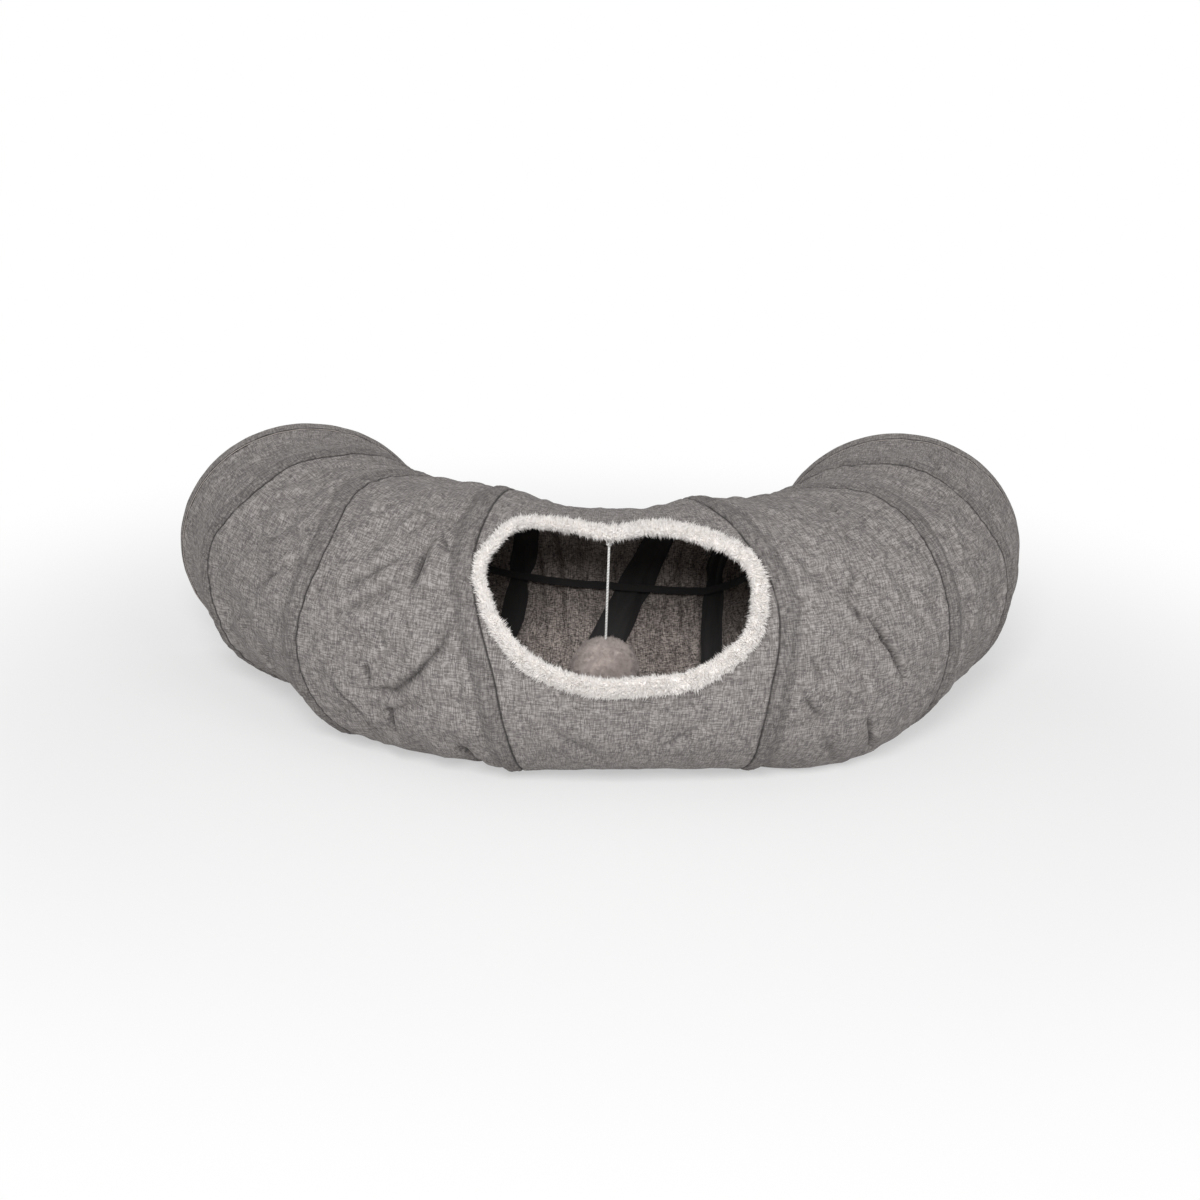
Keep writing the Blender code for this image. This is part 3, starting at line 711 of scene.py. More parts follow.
@dataclass(frozen=True)
class TwoTone(Finish):
    """A finish of two colours that a texture mixes, and a relief that follows a texture.

    A texture is a node's kind, its settings, and those of a Mapping node. It is read on Object coordinates, or
    on a flat sheet's own. The spread is the range of the texture's values over which the colours change.
    """

    colours: tuple[str, str] = ("#808080", "#808080")
    texture: Texture = ("TexNoise", {}, {})
    relief: Texture | None = None
    bump: dict | None = None
    spread: tuple[float, float] = (0.0, 1.0)
    flat: bool = False

    def make(self) -> Material:
        """Builds the material."""
        material, tree, shader = self.start()
        source = ("UVMap", {"uv_map": "cloth"}, 0) if self.flat else ("TexCoord", {}, "Object")
        place = add_node(tree, source[0], source[1]).outputs[source[2]]
        level = add_node(tree, "MapRange", dict(zip(("From Min", "From Max"), self.spread)),
                         {"Value": self.draw(tree, place, self.texture)})
        ends = {6: linear(self.colours[0]), 7: linear(self.colours[1])}
        mix = add_node(tree, "Mix", {"data_type": "RGBA", **ends}, {0: level.outputs[0]})
        feed(tree, shader, {"Base Color": mix.outputs[2]})
        if self.relief:
            bump = add_node(tree, "Bump", self.bump, {"Height": self.draw(tree, place, self.relief)})
            feed(tree, shader, {"Normal": bump.outputs[0]})
        return material

    def draw(self, tree: NodeTree, place: NodeSocket, texture: Texture) -> NodeSocket:
        """Draws a texture, on mapped coordinates if it asks for them."""
        kind, settings, mapping = texture
        if mapping:
            place = add_node(tree, "Mapping", mapping, {"Vector": place}).outputs[0]
        return add_node(tree, kind, settings, {"Vector": place}).outputs["Fac"]


def add_object(name: str, data: bpy.types.ID) -> Object:
    """Puts a mesh, a curve, a lamp or a camera into the scene."""
    made = bpy.data.objects.new(name, data)
    bpy.context.scene.collection.objects.link(made)
    return made


def round_line(name: str, places: Sequence[Sequence[float]], diameter: float, resolution: int) -> Object:
    """Makes a round wire or cord along a line of places."""
    curve = bpy.data.curves.new(name, "CURVE")
    curve.dimensions, curve.bevel_depth, curve.bevel_resolution = "3D", diameter / 2, resolution
    curve.use_fill_caps = True
    spline = curve.splines.new("POLY")
    spline.points.add(len(places) - 1)
    for point, place in zip(spline.points, places):
        point.co = (*place, 1.0)
    return add_object(name, curve)


def sheet_area(made: Object) -> float:
    """Area of one side of a sheet piece."""
    return sum(p.area for p in made.data.polygons) / 2


def merge_doubles(bm: BMesh, dist: float = WELD) -> None:
    """Merges vertices that lie together."""
    bmesh.ops.remove_doubles(bm, verts=bm.verts, dist=dist)


class Workshop:
    """Holds the finishes, and turns bmeshes into finished pieces of the scene."""

    def __init__(self) -> None:
        """Makes each finish once."""
        twist = ("TexWave", {"Scale": 140.0, "Distortion": 0.4, "bands_direction": "Z"}, {"Rotation": (0.0, 0.6, 0.0)})
        self.finishes = {
            "heather_cloth": HeatherCloth().make(),
            # Woven polyester tape: matt black, with fine ribs across its length and fibres worn along it.
            "black_tape": TwoTone(
                "black_polyester_tape", 0.85, sheen=0.05, flat=True, colours=("#1D1B1B", "#2B2928"),
                texture=("TexNoise", {"Scale": 1.0, "Detail": 2.0}, {"Scale": (400.0, 60.0, 1.0)}),
                relief=("TexWave", {"Scale": 260.0, "Distortion": 0.6, "bands_direction": "Y"}, {}),
                bump={"Strength": 0.4, "Distance": 0.2 * MM}).make(),
            # Spring steel, drawn and oiled: a dull metal with darker patches.
            "spring_steel": TwoTone(
                "drawn_spring_steel", 0.35, metallic=1.0, colours=("#8C8B88", "#6E6C69"),
                texture=("TexNoise", {"Scale": 180.0, "Detail": 2.0}, {})).make(),
            # Polyester pile: matt and soft, with small differences of colour in patches of 3 mm.
            "plush": TwoTone(
                "off_white_plush", 0.95, colours=("#EBE5E0", "#FBF8F6"), spread=(0.3, 0.7),
                texture=("TexNoise", {"Scale": 1 / (3.0 * MM), "Detail": 3.0}, {})).make(),
            # Twisted polyester cord: white, in slanted strands about 2 mm long.
            "cord": TwoTone("white_twisted_cord", 0.8, colours=("#C9C8C5", "#F1F0EE"), texture=twist, relief=twist,
                            bump={"Strength": 0.6, "Distance": 0.3 * MM}).make(),
            # The same pile, greige, with patches of 9 mm.
            "faux_fur": TwoTone(
                "greige_faux_fur", 0.95, colours=("#B0A5A0", "#CABEB9"), spread=(0.3, 0.7),
                texture=("TexNoise", {"Scale": 1 / (9.0 * MM), "Detail": 3.0}, {})).make(),
        }

    def piece(self, name: str, bm: BMesh, slot: str) -> Object:
        """Makes an object from a bmesh, with its finish."""
        mesh = bpy.data.meshes.new(name)
        bm.to_mesh(mesh)
        bm.free()
        mesh.shade_smooth()
        keep_normals(mesh)
        made = add_object(name, mesh)
        mesh.materials.append(self.finishes[slot])
        return made

    def mount(self, made: Object, sleeve: Sleeve, bend: Bend) -> None:
        """Sets a piece of a sleeve on its ring's body."""
        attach(made, sleeve.body)
        if sleeve.ring is not None:
            bend.tangent(sleeve.ring)
            bend.middle(sleeve.ring)
            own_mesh(made)
        LOG.info("%s rides on %s", made.name, sleeve.body)

    def sleeves(self, whole: BMesh, kind: str, slot: str, bend: Bend,
                tube: bool = False) -> Iterator[tuple[Sleeve, Object, float]]:
        """Cuts up a whole mesh, mounts the pieces, and yields each sleeve, its piece and the area of one side."""
        for sleeve in SLEEVES:
            made = self.piece(f"{kind}_{sleeve.name}", cut_sleeve(whole, sleeve, bend, tube), slot)
            self.mount(made, sleeve, bend)
            yield sleeve, made, sheet_area(made)
        whole.free()


def keep_normals(mesh: bpy.types.Mesh) -> None:
    """Shades a cut piece with the whole mesh's normals, so that no line shows where it was cut."""
    if "whole_normal" not in mesh.attributes:
        return
    stored = np.zeros(len(mesh.vertices) * 3)
    mesh.attributes["whole_normal"].data.foreach_get("vector", stored)
    corners, counts = np.zeros(len(mesh.loops), int), np.zeros(len(mesh.polygons), int)
    faces = np.zeros(len(mesh.polygons) * 3)
    mesh.loops.foreach_get("vertex_index", corners)
    mesh.polygons.foreach_get("loop_total", counts)
    mesh.polygons.foreach_get("normal", faces)
    flat = np.repeat(faces.reshape(-1, 3), counts, axis=0)
    smooth = stored.reshape(-1, 3)[corners]
    steep = (flat * smooth).sum(axis=1) < 0.4
    smooth[steep] = flat[steep]
    smooth /= np.maximum(np.linalg.norm(smooth, axis=1, keepdims=True), 1e-9)
    mesh.attributes.remove(mesh.attributes["whole_normal"])
    mesh.normals_split_custom_set(smooth.tolist())


def thicken(bm: BMesh, thickness: float) -> None:
    """Gives an open sheet its thickness, on the inside, and stores the normals of both faces."""
    layer = bm.verts.layers.float_vector.new("whole_normal")
    lining = bm.verts.layers.float.new("lining")
    bm.normal_update()
    outer, rim = list(bm.verts), [e.link_loops[0] for e in bm.edges if e.is_boundary]
    rim_pairs = [(loop.link_loop_next.vert, loop.vert) for loop in rim]
    copy = bmesh.ops.duplicate(bm, geom=bm.verts[:] + bm.edges[:] + bm.faces[:])
    inner_of = copy["vert_map"]
    bmesh.ops.reverse_faces(bm, faces=[g for g in copy["geom"] if isinstance(g, BMFace)])
    for vert in outer:
        inner, normal = inner_of[vert], vert.normal.copy()
        inner.co = vert.co - normal * thickness
        vert[layer], inner[layer] = normal, -normal
        inner[lining] = 1.0
    for first, second in rim_pairs:
        bm.faces.new((first, second, inner_of[second], inner_of[first]))


def cut_sleeve(source: BMesh, sleeve: Sleeve, bend: Bend, tube: bool = False) -> BMesh:
    """Copies the part of a closed mesh that lies between a sleeve's two planes, and closes the cuts.

    Args:
        source: The whole mesh, which is kept.
        sleeve: The sleeve, which says where the planes stand.
        bend: The tube's bend, whose axis both planes hold.
        tube: Whether the mesh is a tube with a wall, rather than tapes or wire.

    Returns:
        The cut copy.
    """
    made = source.copy()
    for sweep, drop_inner in ((sleeve.low, True), (sleeve.high, False)):
        if abs(sweep) > BEYOND_MOUTHS:
            continue
        cut = bmesh.ops.bisect_plane(made, geom=made.verts[:] + made.edges[:] + made.faces[:], dist=1e-7,
                                     plane_co=(0.0, bend.radius, 0.0), plane_no=bend.tangent(sweep),
                                     clear_inner=drop_inner, clear_outer=not drop_inner)
        edges = [g for g in cut["geom_cut"] if isinstance(g, BMEdge) and g.is_boundary]
        if tube:
            close_tube(made, edges, bend.middle(sweep), bend.tangent(sweep) * (-1 if drop_inner else 1))
        else:
            bmesh.ops.holes_fill(made, edges=edges, sides=0)
    return made


def close_tube(bm: BMesh, edges: list[BMEdge], middle: Vector, outward: Vector) -> None:
    """Fills the ring between the outer and inner faces of a cut tube."""
    layer = bm.verts.layers.float_vector["whole_normal"]
    level = Vector((outward.y, -outward.x, 0.0))
    rings: list[list[tuple[float, BMVert]]] = [[], []]
    for vert in {v for e in edges for v in e.verts}:
        arm = vert.co - middle
        rings[arm.dot(vert[layer]) > 0].append((math.atan2(arm.dot(level), arm.z), vert))
    for ring in rings:
        ring.sort(key=lambda pair: pair[0])
        ring.append((ring[0][0] + 2 * math.pi, ring[0][1]))
    (first, second), i, j = rings, 0, 0
    while i < len(first) - 1 or j < len(second) - 1:
        ahead = j == len(second) - 1 or (i < len(first) - 1 and first[i + 1][0] <= second[j + 1][0])
        corners = [first[i][1], second[j][1], (first[i + 1] if ahead else second[j + 1])[1]]
        i, j = (i + 1, j) if ahead else (i, j + 1)
        a, b, c = (v.co for v in corners)
        if (b - a).cross(c - a).dot(outward) < 0:
            corners.reverse()
        bm.faces.new(corners)


def mapped_grid(bm: BMesh, columns: int, rows: int, place: Placer) -> list[BMVert]:
    """Adds a grid and carries it to its shape.

    Args:
        bm: The bmesh that gets the grid.
        columns: Cells across.
        rows: Cells along.
        place: Turns shares across and along into points and cloth coordinates.

    Returns:
        The grid's vertices.
    """
    verts = bmesh.ops.create_grid(bm, x_segments=columns, y_segments=rows, size=0.5)["verts"]
    flat = np.array([v.co[:2] for v in verts]) + 0.5
    points, coords = place(flat[:, 0], flat[:, 1])
    layer = bm.loops.layers.uv.get("cloth") or bm.loops.layers.uv.new("cloth")
    for vert, point, coord in zip(verts, points, coords):
        vert.co = point
        for loop in vert.link_loops:
            loop[layer].uv = coord
    return verts


def store_painted_shade(bm: BMesh, verts: list[BMVert], darks: Array) -> None:
    """Stores the shade painted along sewn lines and in creases, and the darkening over the wire pockets, for the
    cloth's finish.
    """
    layer = bm.verts.layers.float.get("stitch")
    for vert, dark in zip(verts, darks):
        vert[layer] = dark


@dataclass
class ClothTube:
    """The heather cloth: one sewn tube from hem to hem, with the peephole cut out, in sleeves.

    The columns are the cells across each strip. They stand at the crowded distances from a seam, in
    millimetres, and are even between them.
    """

    form: ClothForm
    opening: "PeepholeOutline"
    columns: tuple[int, ...] = (64, 64, 96, 110, 100, 64, 64)
    crowded: tuple[float, ...] = (0.0, 0.5, 1.0, 1.6, 2.4, 3.6, 5.2, 7.2, 9.4, 11.8, 14.4)
    rows: int = 345

    def __post_init__(self) -> None:
        """Opens the bmesh in which the whole tube is sewn."""
        self.bm = bmesh.new()
        # Painted shade along sewn lines and in creases, with the darkening over the wire pockets.
        self.bm.verts.layers.float.new("stitch")

    def column_offsets(self, index: Array, width: Array, columns: int) -> Array:
        """Distance of each column from the strip's left edge. Columns crowd at the seams."""
        near = np.array(self.crowded) * MM
        count = len(near) - 1
        shrink = np.minimum(width / 0.10, 1.0)
        middle_low, middle_high = near[-1] * shrink, width - near[-1] * shrink
        low = np.interp(index, range(count + 1), near) * shrink
        high = width - np.interp(columns - index, range(count + 1), near) * shrink
        middle = middle_low + (middle_high - middle_low) * ((index - count) / (columns - 2 * count))
        return np.where(index <= count, low, np.where(index >= columns - count, high, middle))

    def strip(self, number: int, first: float, last: float) -> None:
        """Adds one strip of cloth between two seams, over a range of around angles."""
        plan, columns = self.form.plan, self.columns[number]
        places: dict[str, Array] = {}

        def place(across: Array, along: Array) -> Pair:
            """Lays the grid between the strip's two seams."""
            around = first + (last - first) * along
            left, right = plan.strip_edges(number, around)
            reach = plan.bend.reach(around)
            width = np.radians(np.maximum(right - left, 0.0)) * reach
            sweep = left + np.degrees(self.column_offsets(across * columns, width, columns) / reach)
            out, dark = self.form.relief(number, sweep, around)
            places.update(sweep=sweep, around=around, dark=dark)
            coords = columns_of(np.radians(around) * CLOTH_AROUND, np.radians(sweep) * CLOTH_ALONG)
            return plan.bend.place(sweep, around, out), coords

        verts = mapped_grid(self.bm, columns, round(self.rows * (last - first) / 360.0), place)
        store_painted_shade(self.bm, verts, places["dark"])
        if number == MIDDLE_STRIP:
            self.open_peephole(verts, places["sweep"], places["around"])

    def open_peephole(self, verts: list[BMVert], sweep: Array, around: Array) -> None:
        """Cuts the peephole out of the middle strip, with an even edge."""
        inside = self.opening.inside(sweep, around)
        place_of = {vert: i for i, vert in enumerate(verts)}
        faces = {f for v, within in zip(verts, inside) if within for f in v.link_faces}
        gone = [f for f in faces if sum(inside[place_of[v]] for v in f.verts) > 2]
        touched = {v for f in gone for v in f.verts}
        bmesh.ops.delete(self.bm, geom=gone, context="FACES")
        rim = [v for v in touched if v.is_valid and v.link_faces]
        index = np.array([place_of[v] for v in rim])
        new_sweep, new_around = self.opening.nearest(sweep[index], around[index])
        out, _ = self.form.relief(MIDDLE_STRIP, new_sweep, new_around)
        for vert, point in zip(rim, self.form.plan.bend.place(new_sweep, new_around, out)):
            vert.co = point

    def build(self) -> BMesh:
        """Sews the strips together."""
        for number in range(7):
            self.strip(number, TURN_START, TURN_END)
        self.strip(6, TURN_END, self.form.plan.lift_end)
        merge_doubles(self.bm)
        bmesh.ops.dissolve_degenerate(self.bm, edges=self.bm.edges, dist=0.01 * MM)
        face_outwards(self.bm, self.form.plan.bend)
        thicken(self.bm, self.form.cloth)
        LOG.info("cloth tube sewn: %d faces", len(self.bm.faces))
        return self.bm

    def dress(self, shop: Workshop) -> None:
        """Cuts the tube into sleeves and sets each on its ring."""
        cut = shop.sleeves(self.build(), "cloth", "heather_cloth", self.form.plan.bend, tube=True)
        for sleeve, made, area in cut:
            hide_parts(*sleeve.panels)


def face_outwards(bm: BMesh, bend: Bend) -> None:
    """Turns an open tube's faces outwards, away from the middle of its section."""
    bmesh.ops.recalc_face_normals(bm, faces=bm.faces)
    score = 0.0
    for face in list(bm.faces)[::97]:
        centre = face.calc_center_median()
        sweep = math.degrees(math.atan2(centre.x, bend.radius - centre.y))
        score += face.normal.dot((centre - bend.middle(sweep)).normalized())
    if score < 0:
        bmesh.ops.reverse_faces(bm, faces=bm.faces)


@dataclass
class MouthHems:
    """The folded hems at the two mouths, sewn down over the closing turns of wire.

    The profile is a line of insets from the mouth's edge and depths under the cloth's face, in millimetres.
    """

    form: ClothForm
    columns: int = 64
    rows: int = 240
    profile: Knots = (
        (20.3, 0.2), (18.9, 1.2), (18.0, 0.0), (15.0, -0.7), (10.0, -0.9), (6.0, -1.1), (3.2, -0.9), (1.4, -0.1),
        (0.4, 1.2), (0.2, 2.6), (0.8, 4.0), (2.2, 5.1), (5.0, 5.5), (10.0, 5.2), (15.0, 4.6), (18.0, 3.6),
        (19.0, 2.6), (19.8, 3.2),
    )

    def hem(self, side: Side) -> BMesh:
        """Sweeps the folded profile round one mouth."""
        plan, bm = self.form.plan, bmesh.new()
        bm.verts.layers.float.new("stitch")
        shape = np.array(self.profile)
        run = np.concatenate([[0.0], np.cumsum(np.linalg.norm(np.diff(shape, axis=0), axis=1))])
        darks: list[Array] = []

        def place(across: Array, along: Array) -> Pair:
            """Lays the grid along the folded profile and round the mouth."""
            around = TURN_START + 360.0 * along
            length = across * run[-1]
            inset, depth = np.interp(length, run, shape[:, 0]), np.interp(length, run, shape[:, 1])
            sweep = plan.hem_line(side, around, 0.0) - side.value * np.degrees(inset * MM / plan.bend.reach(around))
            waves = soft_noise(columns_of(around / 7.0, inset / 9.0, side.value * 4.0), 14)
            waves = waves * (0.35 + 0.6 * bell(inset - 18.0, 4.5)) * (depth < 3.0)
            out = self.form.rings_lie(sweep, around) - MM * (depth + waves)
            pull = 0.8 + 0.5 * soft_noise(columns_of(around / 8.0, side.value * 2.0), 24)
            # Painted shade: a dark line along the hem's sewn edge, for the shadow in its groove.
            darks.append(bell(inset - 18.4, 1.2) * (depth < 2.0) * np.clip(pull, 0.5, 1.0))
            flat = np.radians(plan.rings[0]) * CLOTH_ALONG + length * MM
            return plan.bend.place(sweep, around, out), columns_of(np.radians(around) * CLOTH_AROUND, flat)

        verts = mapped_grid(bm, self.columns, self.rows, place)
        store_painted_shade(bm, verts, darks[0])
        merge_doubles(bm)
        self.face_out(bm, side)
        return bm

    def face_out(self, bm: BMesh, side: Side) -> None:
        """Turns the hem's faces to the outside of its fold."""
        bmesh.ops.recalc_face_normals(bm, faces=bm.faces)
        bend = self.form.plan.bend
        ring = self.form.plan.rings[0 if side is Side.LEFT else 7]
        edge = bend.tangent(ring) * side.value
        top = max(bm.faces, key=lambda f: f.calc_center_median().z)
        fold = max(bm.faces, key=lambda f: (f.calc_center_median() - bend.middle(ring)).dot(edge))
        if fold.normal.dot(edge) + top.normal.z < 0:
            bmesh.ops.reverse_faces(bm, faces=bm.faces)

    def dress(self, shop: Workshop) -> None:
        """Makes both hems."""
        for side in Side:
            name = side.name.lower()
            bm = self.hem(side)
            thicken(bm, 0.6 * MM)
            made = shop.piece(f"hem_{name}", bm, "heather_cloth")
            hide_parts(f"{name}_mouth_hem")
            sleeve = SLEEVES[0] if side is Side.LEFT else SLEEVES[-1]
            shop.mount(made, sleeve, self.form.plan.bend)


@dataclass
class BindingTapes:
    """Black tape sewn over the wire along every turn of the seam.

    The tape of the middle ring is wider where it crosses the back wall that the peephole shows.
    """

    form: ClothForm
    width: float = 25 * MM
    middle_ring: int = 4
    middle_share: float = 1.30
    thickness: float = 0.5 * MM
    columns: int = 16
    rows: int = 240
    slant_step: float = 2.0

    def tape(self, bm: BMesh, ring: int) -> None:
        """Adds the tape of one turn."""
        plan, step = self.form.plan, self.slant_step

        def place(across: Array, along: Array) -> Pair:
            """Lays the tape over the wire: flat edges and a round ridge."""
            around = TURN_START + 360.0 * along
            reach = plan.bend.reach(around)
            turn = half_turn(around + 90.0)
            widened = share(1.6 - np.abs(turn) / 40.0) * (ring == self.middle_ring)
            centre = plan.tape(ring, around) + 0.8 * widened
            climb = np.radians(plan.tape(ring, around + step) - plan.tape(ring, around - step)) * reach
            slant = np.hypot(1.0, climb / (np.radians(2 * step) * plan.bend.tube_radius))
            pinched = 0.26 * bell(turn, 6.0) * (ring != self.middle_ring)
            pinch = 1.0 + (self.middle_share - 1.0) * widened - pinched
            wobble = soft_noise(columns_of(around / 11.0, ring * 2.7, across > 0.5), 15)
            half = self.width / 2 * slant * pinch + 0.7 * MM * wobble
            offset = (across - 0.5) * 2 * half
            sweep = centre + np.degrees(offset / reach)
            ridge = bell(offset - plan.wander(ring, around), 3.4 * MM)
            inner = self.form.surface(sweep, around) - MM * (2.2 + 2.0 * ridge)
            return plan.bend.place(sweep, around, inner), columns_of(offset, np.radians(around) * CLOTH_AROUND)

        mapped_grid(bm, self.columns, self.rows, place)

    def dress(self, shop: Workshop) -> None:
        """Makes the tapes and cuts them into sleeves."""
        whole = bmesh.new()
        for ring in range(1, 8):
            self.tape(whole, ring)
        merge_doubles(whole)
        face_outwards(whole, self.form.plan.bend)
        thicken(whole, self.thickness)
        whole = cut_sleeve(whole, Sleeve("all", -80.8, 80.8, ""), self.form.plan.bend)
        for sleeve, made, area in shop.sleeves(whole, "tape", "black_tape", self.form.plan.bend):
            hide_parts(*sleeve.tapes)


@dataclass
class SpringWire:
    """The spring wire, one unbroken line from hem to hem, hidden between cloth and tape.

    Its line is told by turns: around angles that count on from ring to ring. It laps over itself for a turn in
    each hem.
    """

    form: ClothForm
    diameter: float = 2.2 * MM
    depth: float = 2.45 * MM
    lap_gap: float = 2.8 * MM
    edge_gap: float = 2.6 * MM
    step: float = 4.0
    first: float = -216.0
    last: float = 348.0 + 360.0 * 7

    def points(self) -> list[Vector]:
        """The wire's middle line, with a flat closing turn in each hem."""
        plan, form = self.form.plan, self.form
        made, offsets = [], []
        for turn in np.arange(self.first, self.last + self.step / 2, self.step):
            ring = int((turn - TURN_START) // 360.0)
            around = np.array([turn - 360.0 * ring])
            hidden = 0 < ring < 8
            sweep = plan.wire(ring, around) if hidden else plan.spiral(ring, around)
            lap_in = max(1 - (turn - self.first) / 360.0, 0.0)
            lap_out = max(1 - (self.last - turn) / 360.0, 0.0)
            sweep = sweep + (lap_out - lap_in) * np.degrees(self.lap_gap / plan.bend.reach(around))
            sweep = np.clip(sweep, *(plan.hem_line(side, around, self.edge_gap) for side in Side))
            offsets.append((form.surface if hidden else form.rings_lie)(sweep, around)[0] - self.depth)
            made.append((sweep, around))
        window = np.hanning(11)
        eased = np.convolve(np.pad(offsets, 4, mode="edge"), window[1:-1] / window.sum(), mode="valid")
        return [Vector(plan.bend.place(sweep, around, out)[0]) for (sweep, around), out in zip(made, eased)]

    def dress(self, shop: Workshop) -> None:
        """Makes the wire and cuts it into sleeves."""
        holder = round_line("wire_line", self.points(), self.diameter, 2)
        bpy.context.view_layer.update()
        mesh = bpy.data.meshes.new_from_object(holder.evaluated_get(bpy.context.evaluated_depsgraph_get()))
        whole = bmesh.new()
        whole.from_mesh(mesh)
        merge_doubles(whole, 0.001 * MM)
        bpy.data.objects.remove(holder)
        bpy.data.meshes.remove(mesh)
        for sleeve in SLEEVES:
            part = cut_sleeve(whole, sleeve, self.form.plan.bend)
            bmesh.ops.recalc_face_normals(part, faces=part.faces)
            made = shop.piece(f"wire_{sleeve.name}", part, "spring_steel")
            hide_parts("spring_wire")
            shop.mount(made, sleeve, self.form.plan.bend)
        whole.free()


@dataclass
class GatheringStrap:
    """The narrow strap that draws in the inner side of the bend.

    The course is a line of sweeps and around angles.
    """

    form: ClothForm
    width: float = 8 * MM
    thickness: float = 0.9 * MM
    end: float = 81.2
    course: Knots = (
        (-82, 270), (-31.5, 273), (-23, 273.5), (-0.7, 273), (11.3, 271), (30.5, 266), (39.4, 266), (82, 270),
    )

    def dress(self, shop: Workshop) -> None:
        """Makes the strap and cuts it into sleeves."""
        plan, whole = self.form.plan, bmesh.new()
        xs, ys = zip(*self.course)

        def place(across: Array, along: Array) -> Pair:
            """Lays the strap along the inner wall, in front of the tapes."""
            sweep = -self.end + 2 * self.end * along
            offset = (across - 0.5) * self.width
            around = np.interp(sweep, xs, ys) + np.degrees(offset / plan.bend.tube_radius)
            depth = 8.2 + 0.8 * soft_noise(columns_of(sweep / 9.0), 16) * (across - 0.5) * 2
            coords = columns_of(across * self.width, np.radians(sweep) * 0.18)
            return plan.bend.place(sweep, around, -MM * depth), coords

        mapped_grid(whole, 6, 220, place)
        face_outwards(whole, plan.bend)
        thicken(whole, self.thickness)
        for sleeve, made, area in shop.sleeves(whole, "strap", "black_tape", plan.bend):
            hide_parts("gathering_strap")


@dataclass(frozen=True)
class PeepholeOutline:
    """The peephole's edge, which the middle of the plush roll follows: sweeps and around angles.

    The fullness says how thick the roll is at angles round the hole's middle, from -180 to 180 degrees.
    """

    line: Knots = (
        (-14.0, 12.4), (-11.0, 12.6), (-7.9, 12.5), (-5.7, 13.1), (-2.3, 16.0), (0.7, 14.3), (3.0, 11.9),
        (5.4, 11.2), (9.3, 15.4), (11.8, 21.2), (14.5, 26.1), (16.2, 31.1), (17.6, 38.5), (17.9, 44.7),
        (17.0, 53.8), (16.6, 61.1), (15.8, 67.3), (13.7, 74.1), (10.2, 82.0), (7.3, 86.2), (5.1, 87.0),
        (1.0, 88.0), (-2.8, 88.4), (-5.5, 87.2), (-8.2, 84.4), (-11.1, 79.3), (-13.2, 73.4), (-14.9, 67.2),
        (-16.2, 61.5), (-17.5, 52.9), (-19.0, 42.8), (-18.2, 34.5), (-17.5, 28.8), (-16.3, 18.1),
    )
    fullness: Knots = (
        (-225, 0.85), (-180, 0.50), (-135, 0.62), (-90, 0.76), (-40, 1.00), (0, 0.78), (45, 0.98), (90, 0.95),
        (135, 0.85), (180, 0.50), (225, 0.62),
    )
    centre: tuple[float, float] = (-0.8, 49.0)
    stretch: float = 0.32

    def polar(self, sweep: Array, around: Array) -> Pair:
        """Angle and distance from the hole's middle, in degrees of sweep."""
        dx, dy = sweep - self.centre[0], (around - self.centre[1]) * self.stretch
        return np.arctan2(dy, dx), np.hypot(dx, dy)

    def edge(self, angle: Array) -> Array:
        """Distance of the outline from the hole's middle, at an angle."""
        places = np.array(self.line)
        turn, far = self.polar(places[:, 0], places[:, 1])
        order = np.argsort(turn)
        turns = np.concatenate([turn[order] + 2 * np.pi * lap for lap in (-1, 0, 1)])
        grid = np.linspace(-2 * np.pi, 2 * np.pi, 1441)
        values = np.interp(grid, turns, np.tile(far[order], 3))
        smooth = np.convolve(values, blur_weights(24, 9.0), mode="same")
        wrapped = (angle + np.pi) % (2 * np.pi) - np.pi
        return np.interp(wrapped, grid[60:-60], smooth[60:-60])

    def inside(self, sweep: Array, around: Array) -> Array:
        """Which places lie inside the hole."""
        angle, far = self.polar(sweep, around)
        return far < self.edge(angle)

    def at(self, angle: Array) -> Pair:
        """Places on the outline at angles round its middle."""
        far = self.edge(angle)
        return self.centre[0] + far * np.cos(angle), self.centre[1] + far * np.sin(angle) / self.stretch

    def nearest(self, sweep: Array, around: Array) -> Pair:
        """Places on the outline on the same ray from the hole's middle."""
        return self.at(self.polar(sweep, around)[0])


def tuft_mesh(sections: int) -> bpy.types.Mesh:
    """A tapering tuft of three sides, one unit long, to be bent and set in a pile."""
    bm = bmesh.new()
    ring = bmesh.ops.create_circle(bm, segments=3, radius=1.0)["verts"]
    edges = list(bm.edges)
    for _ in range(sections):
        grown = bmesh.ops.extrude_edge_only(bm, edges=edges)["geom"]
        ring = [g for g in grown if isinstance(g, BMVert)]
        edges = [g for g in grown if isinstance(g, BMEdge)]
        bmesh.ops.translate(bm, verts=ring, vec=(0.0, 0.0, 1.0 / sections))
    bmesh.ops.pointmerge(bm, verts=ring, merge_co=(0.0, 0.0, 1.0))
    bmesh.ops.recalc_face_normals(bm, faces=bm.faces)
    mesh = bpy.data.meshes.new("tuft")
    bm.to_mesh(mesh)
    bm.free()
    return mesh


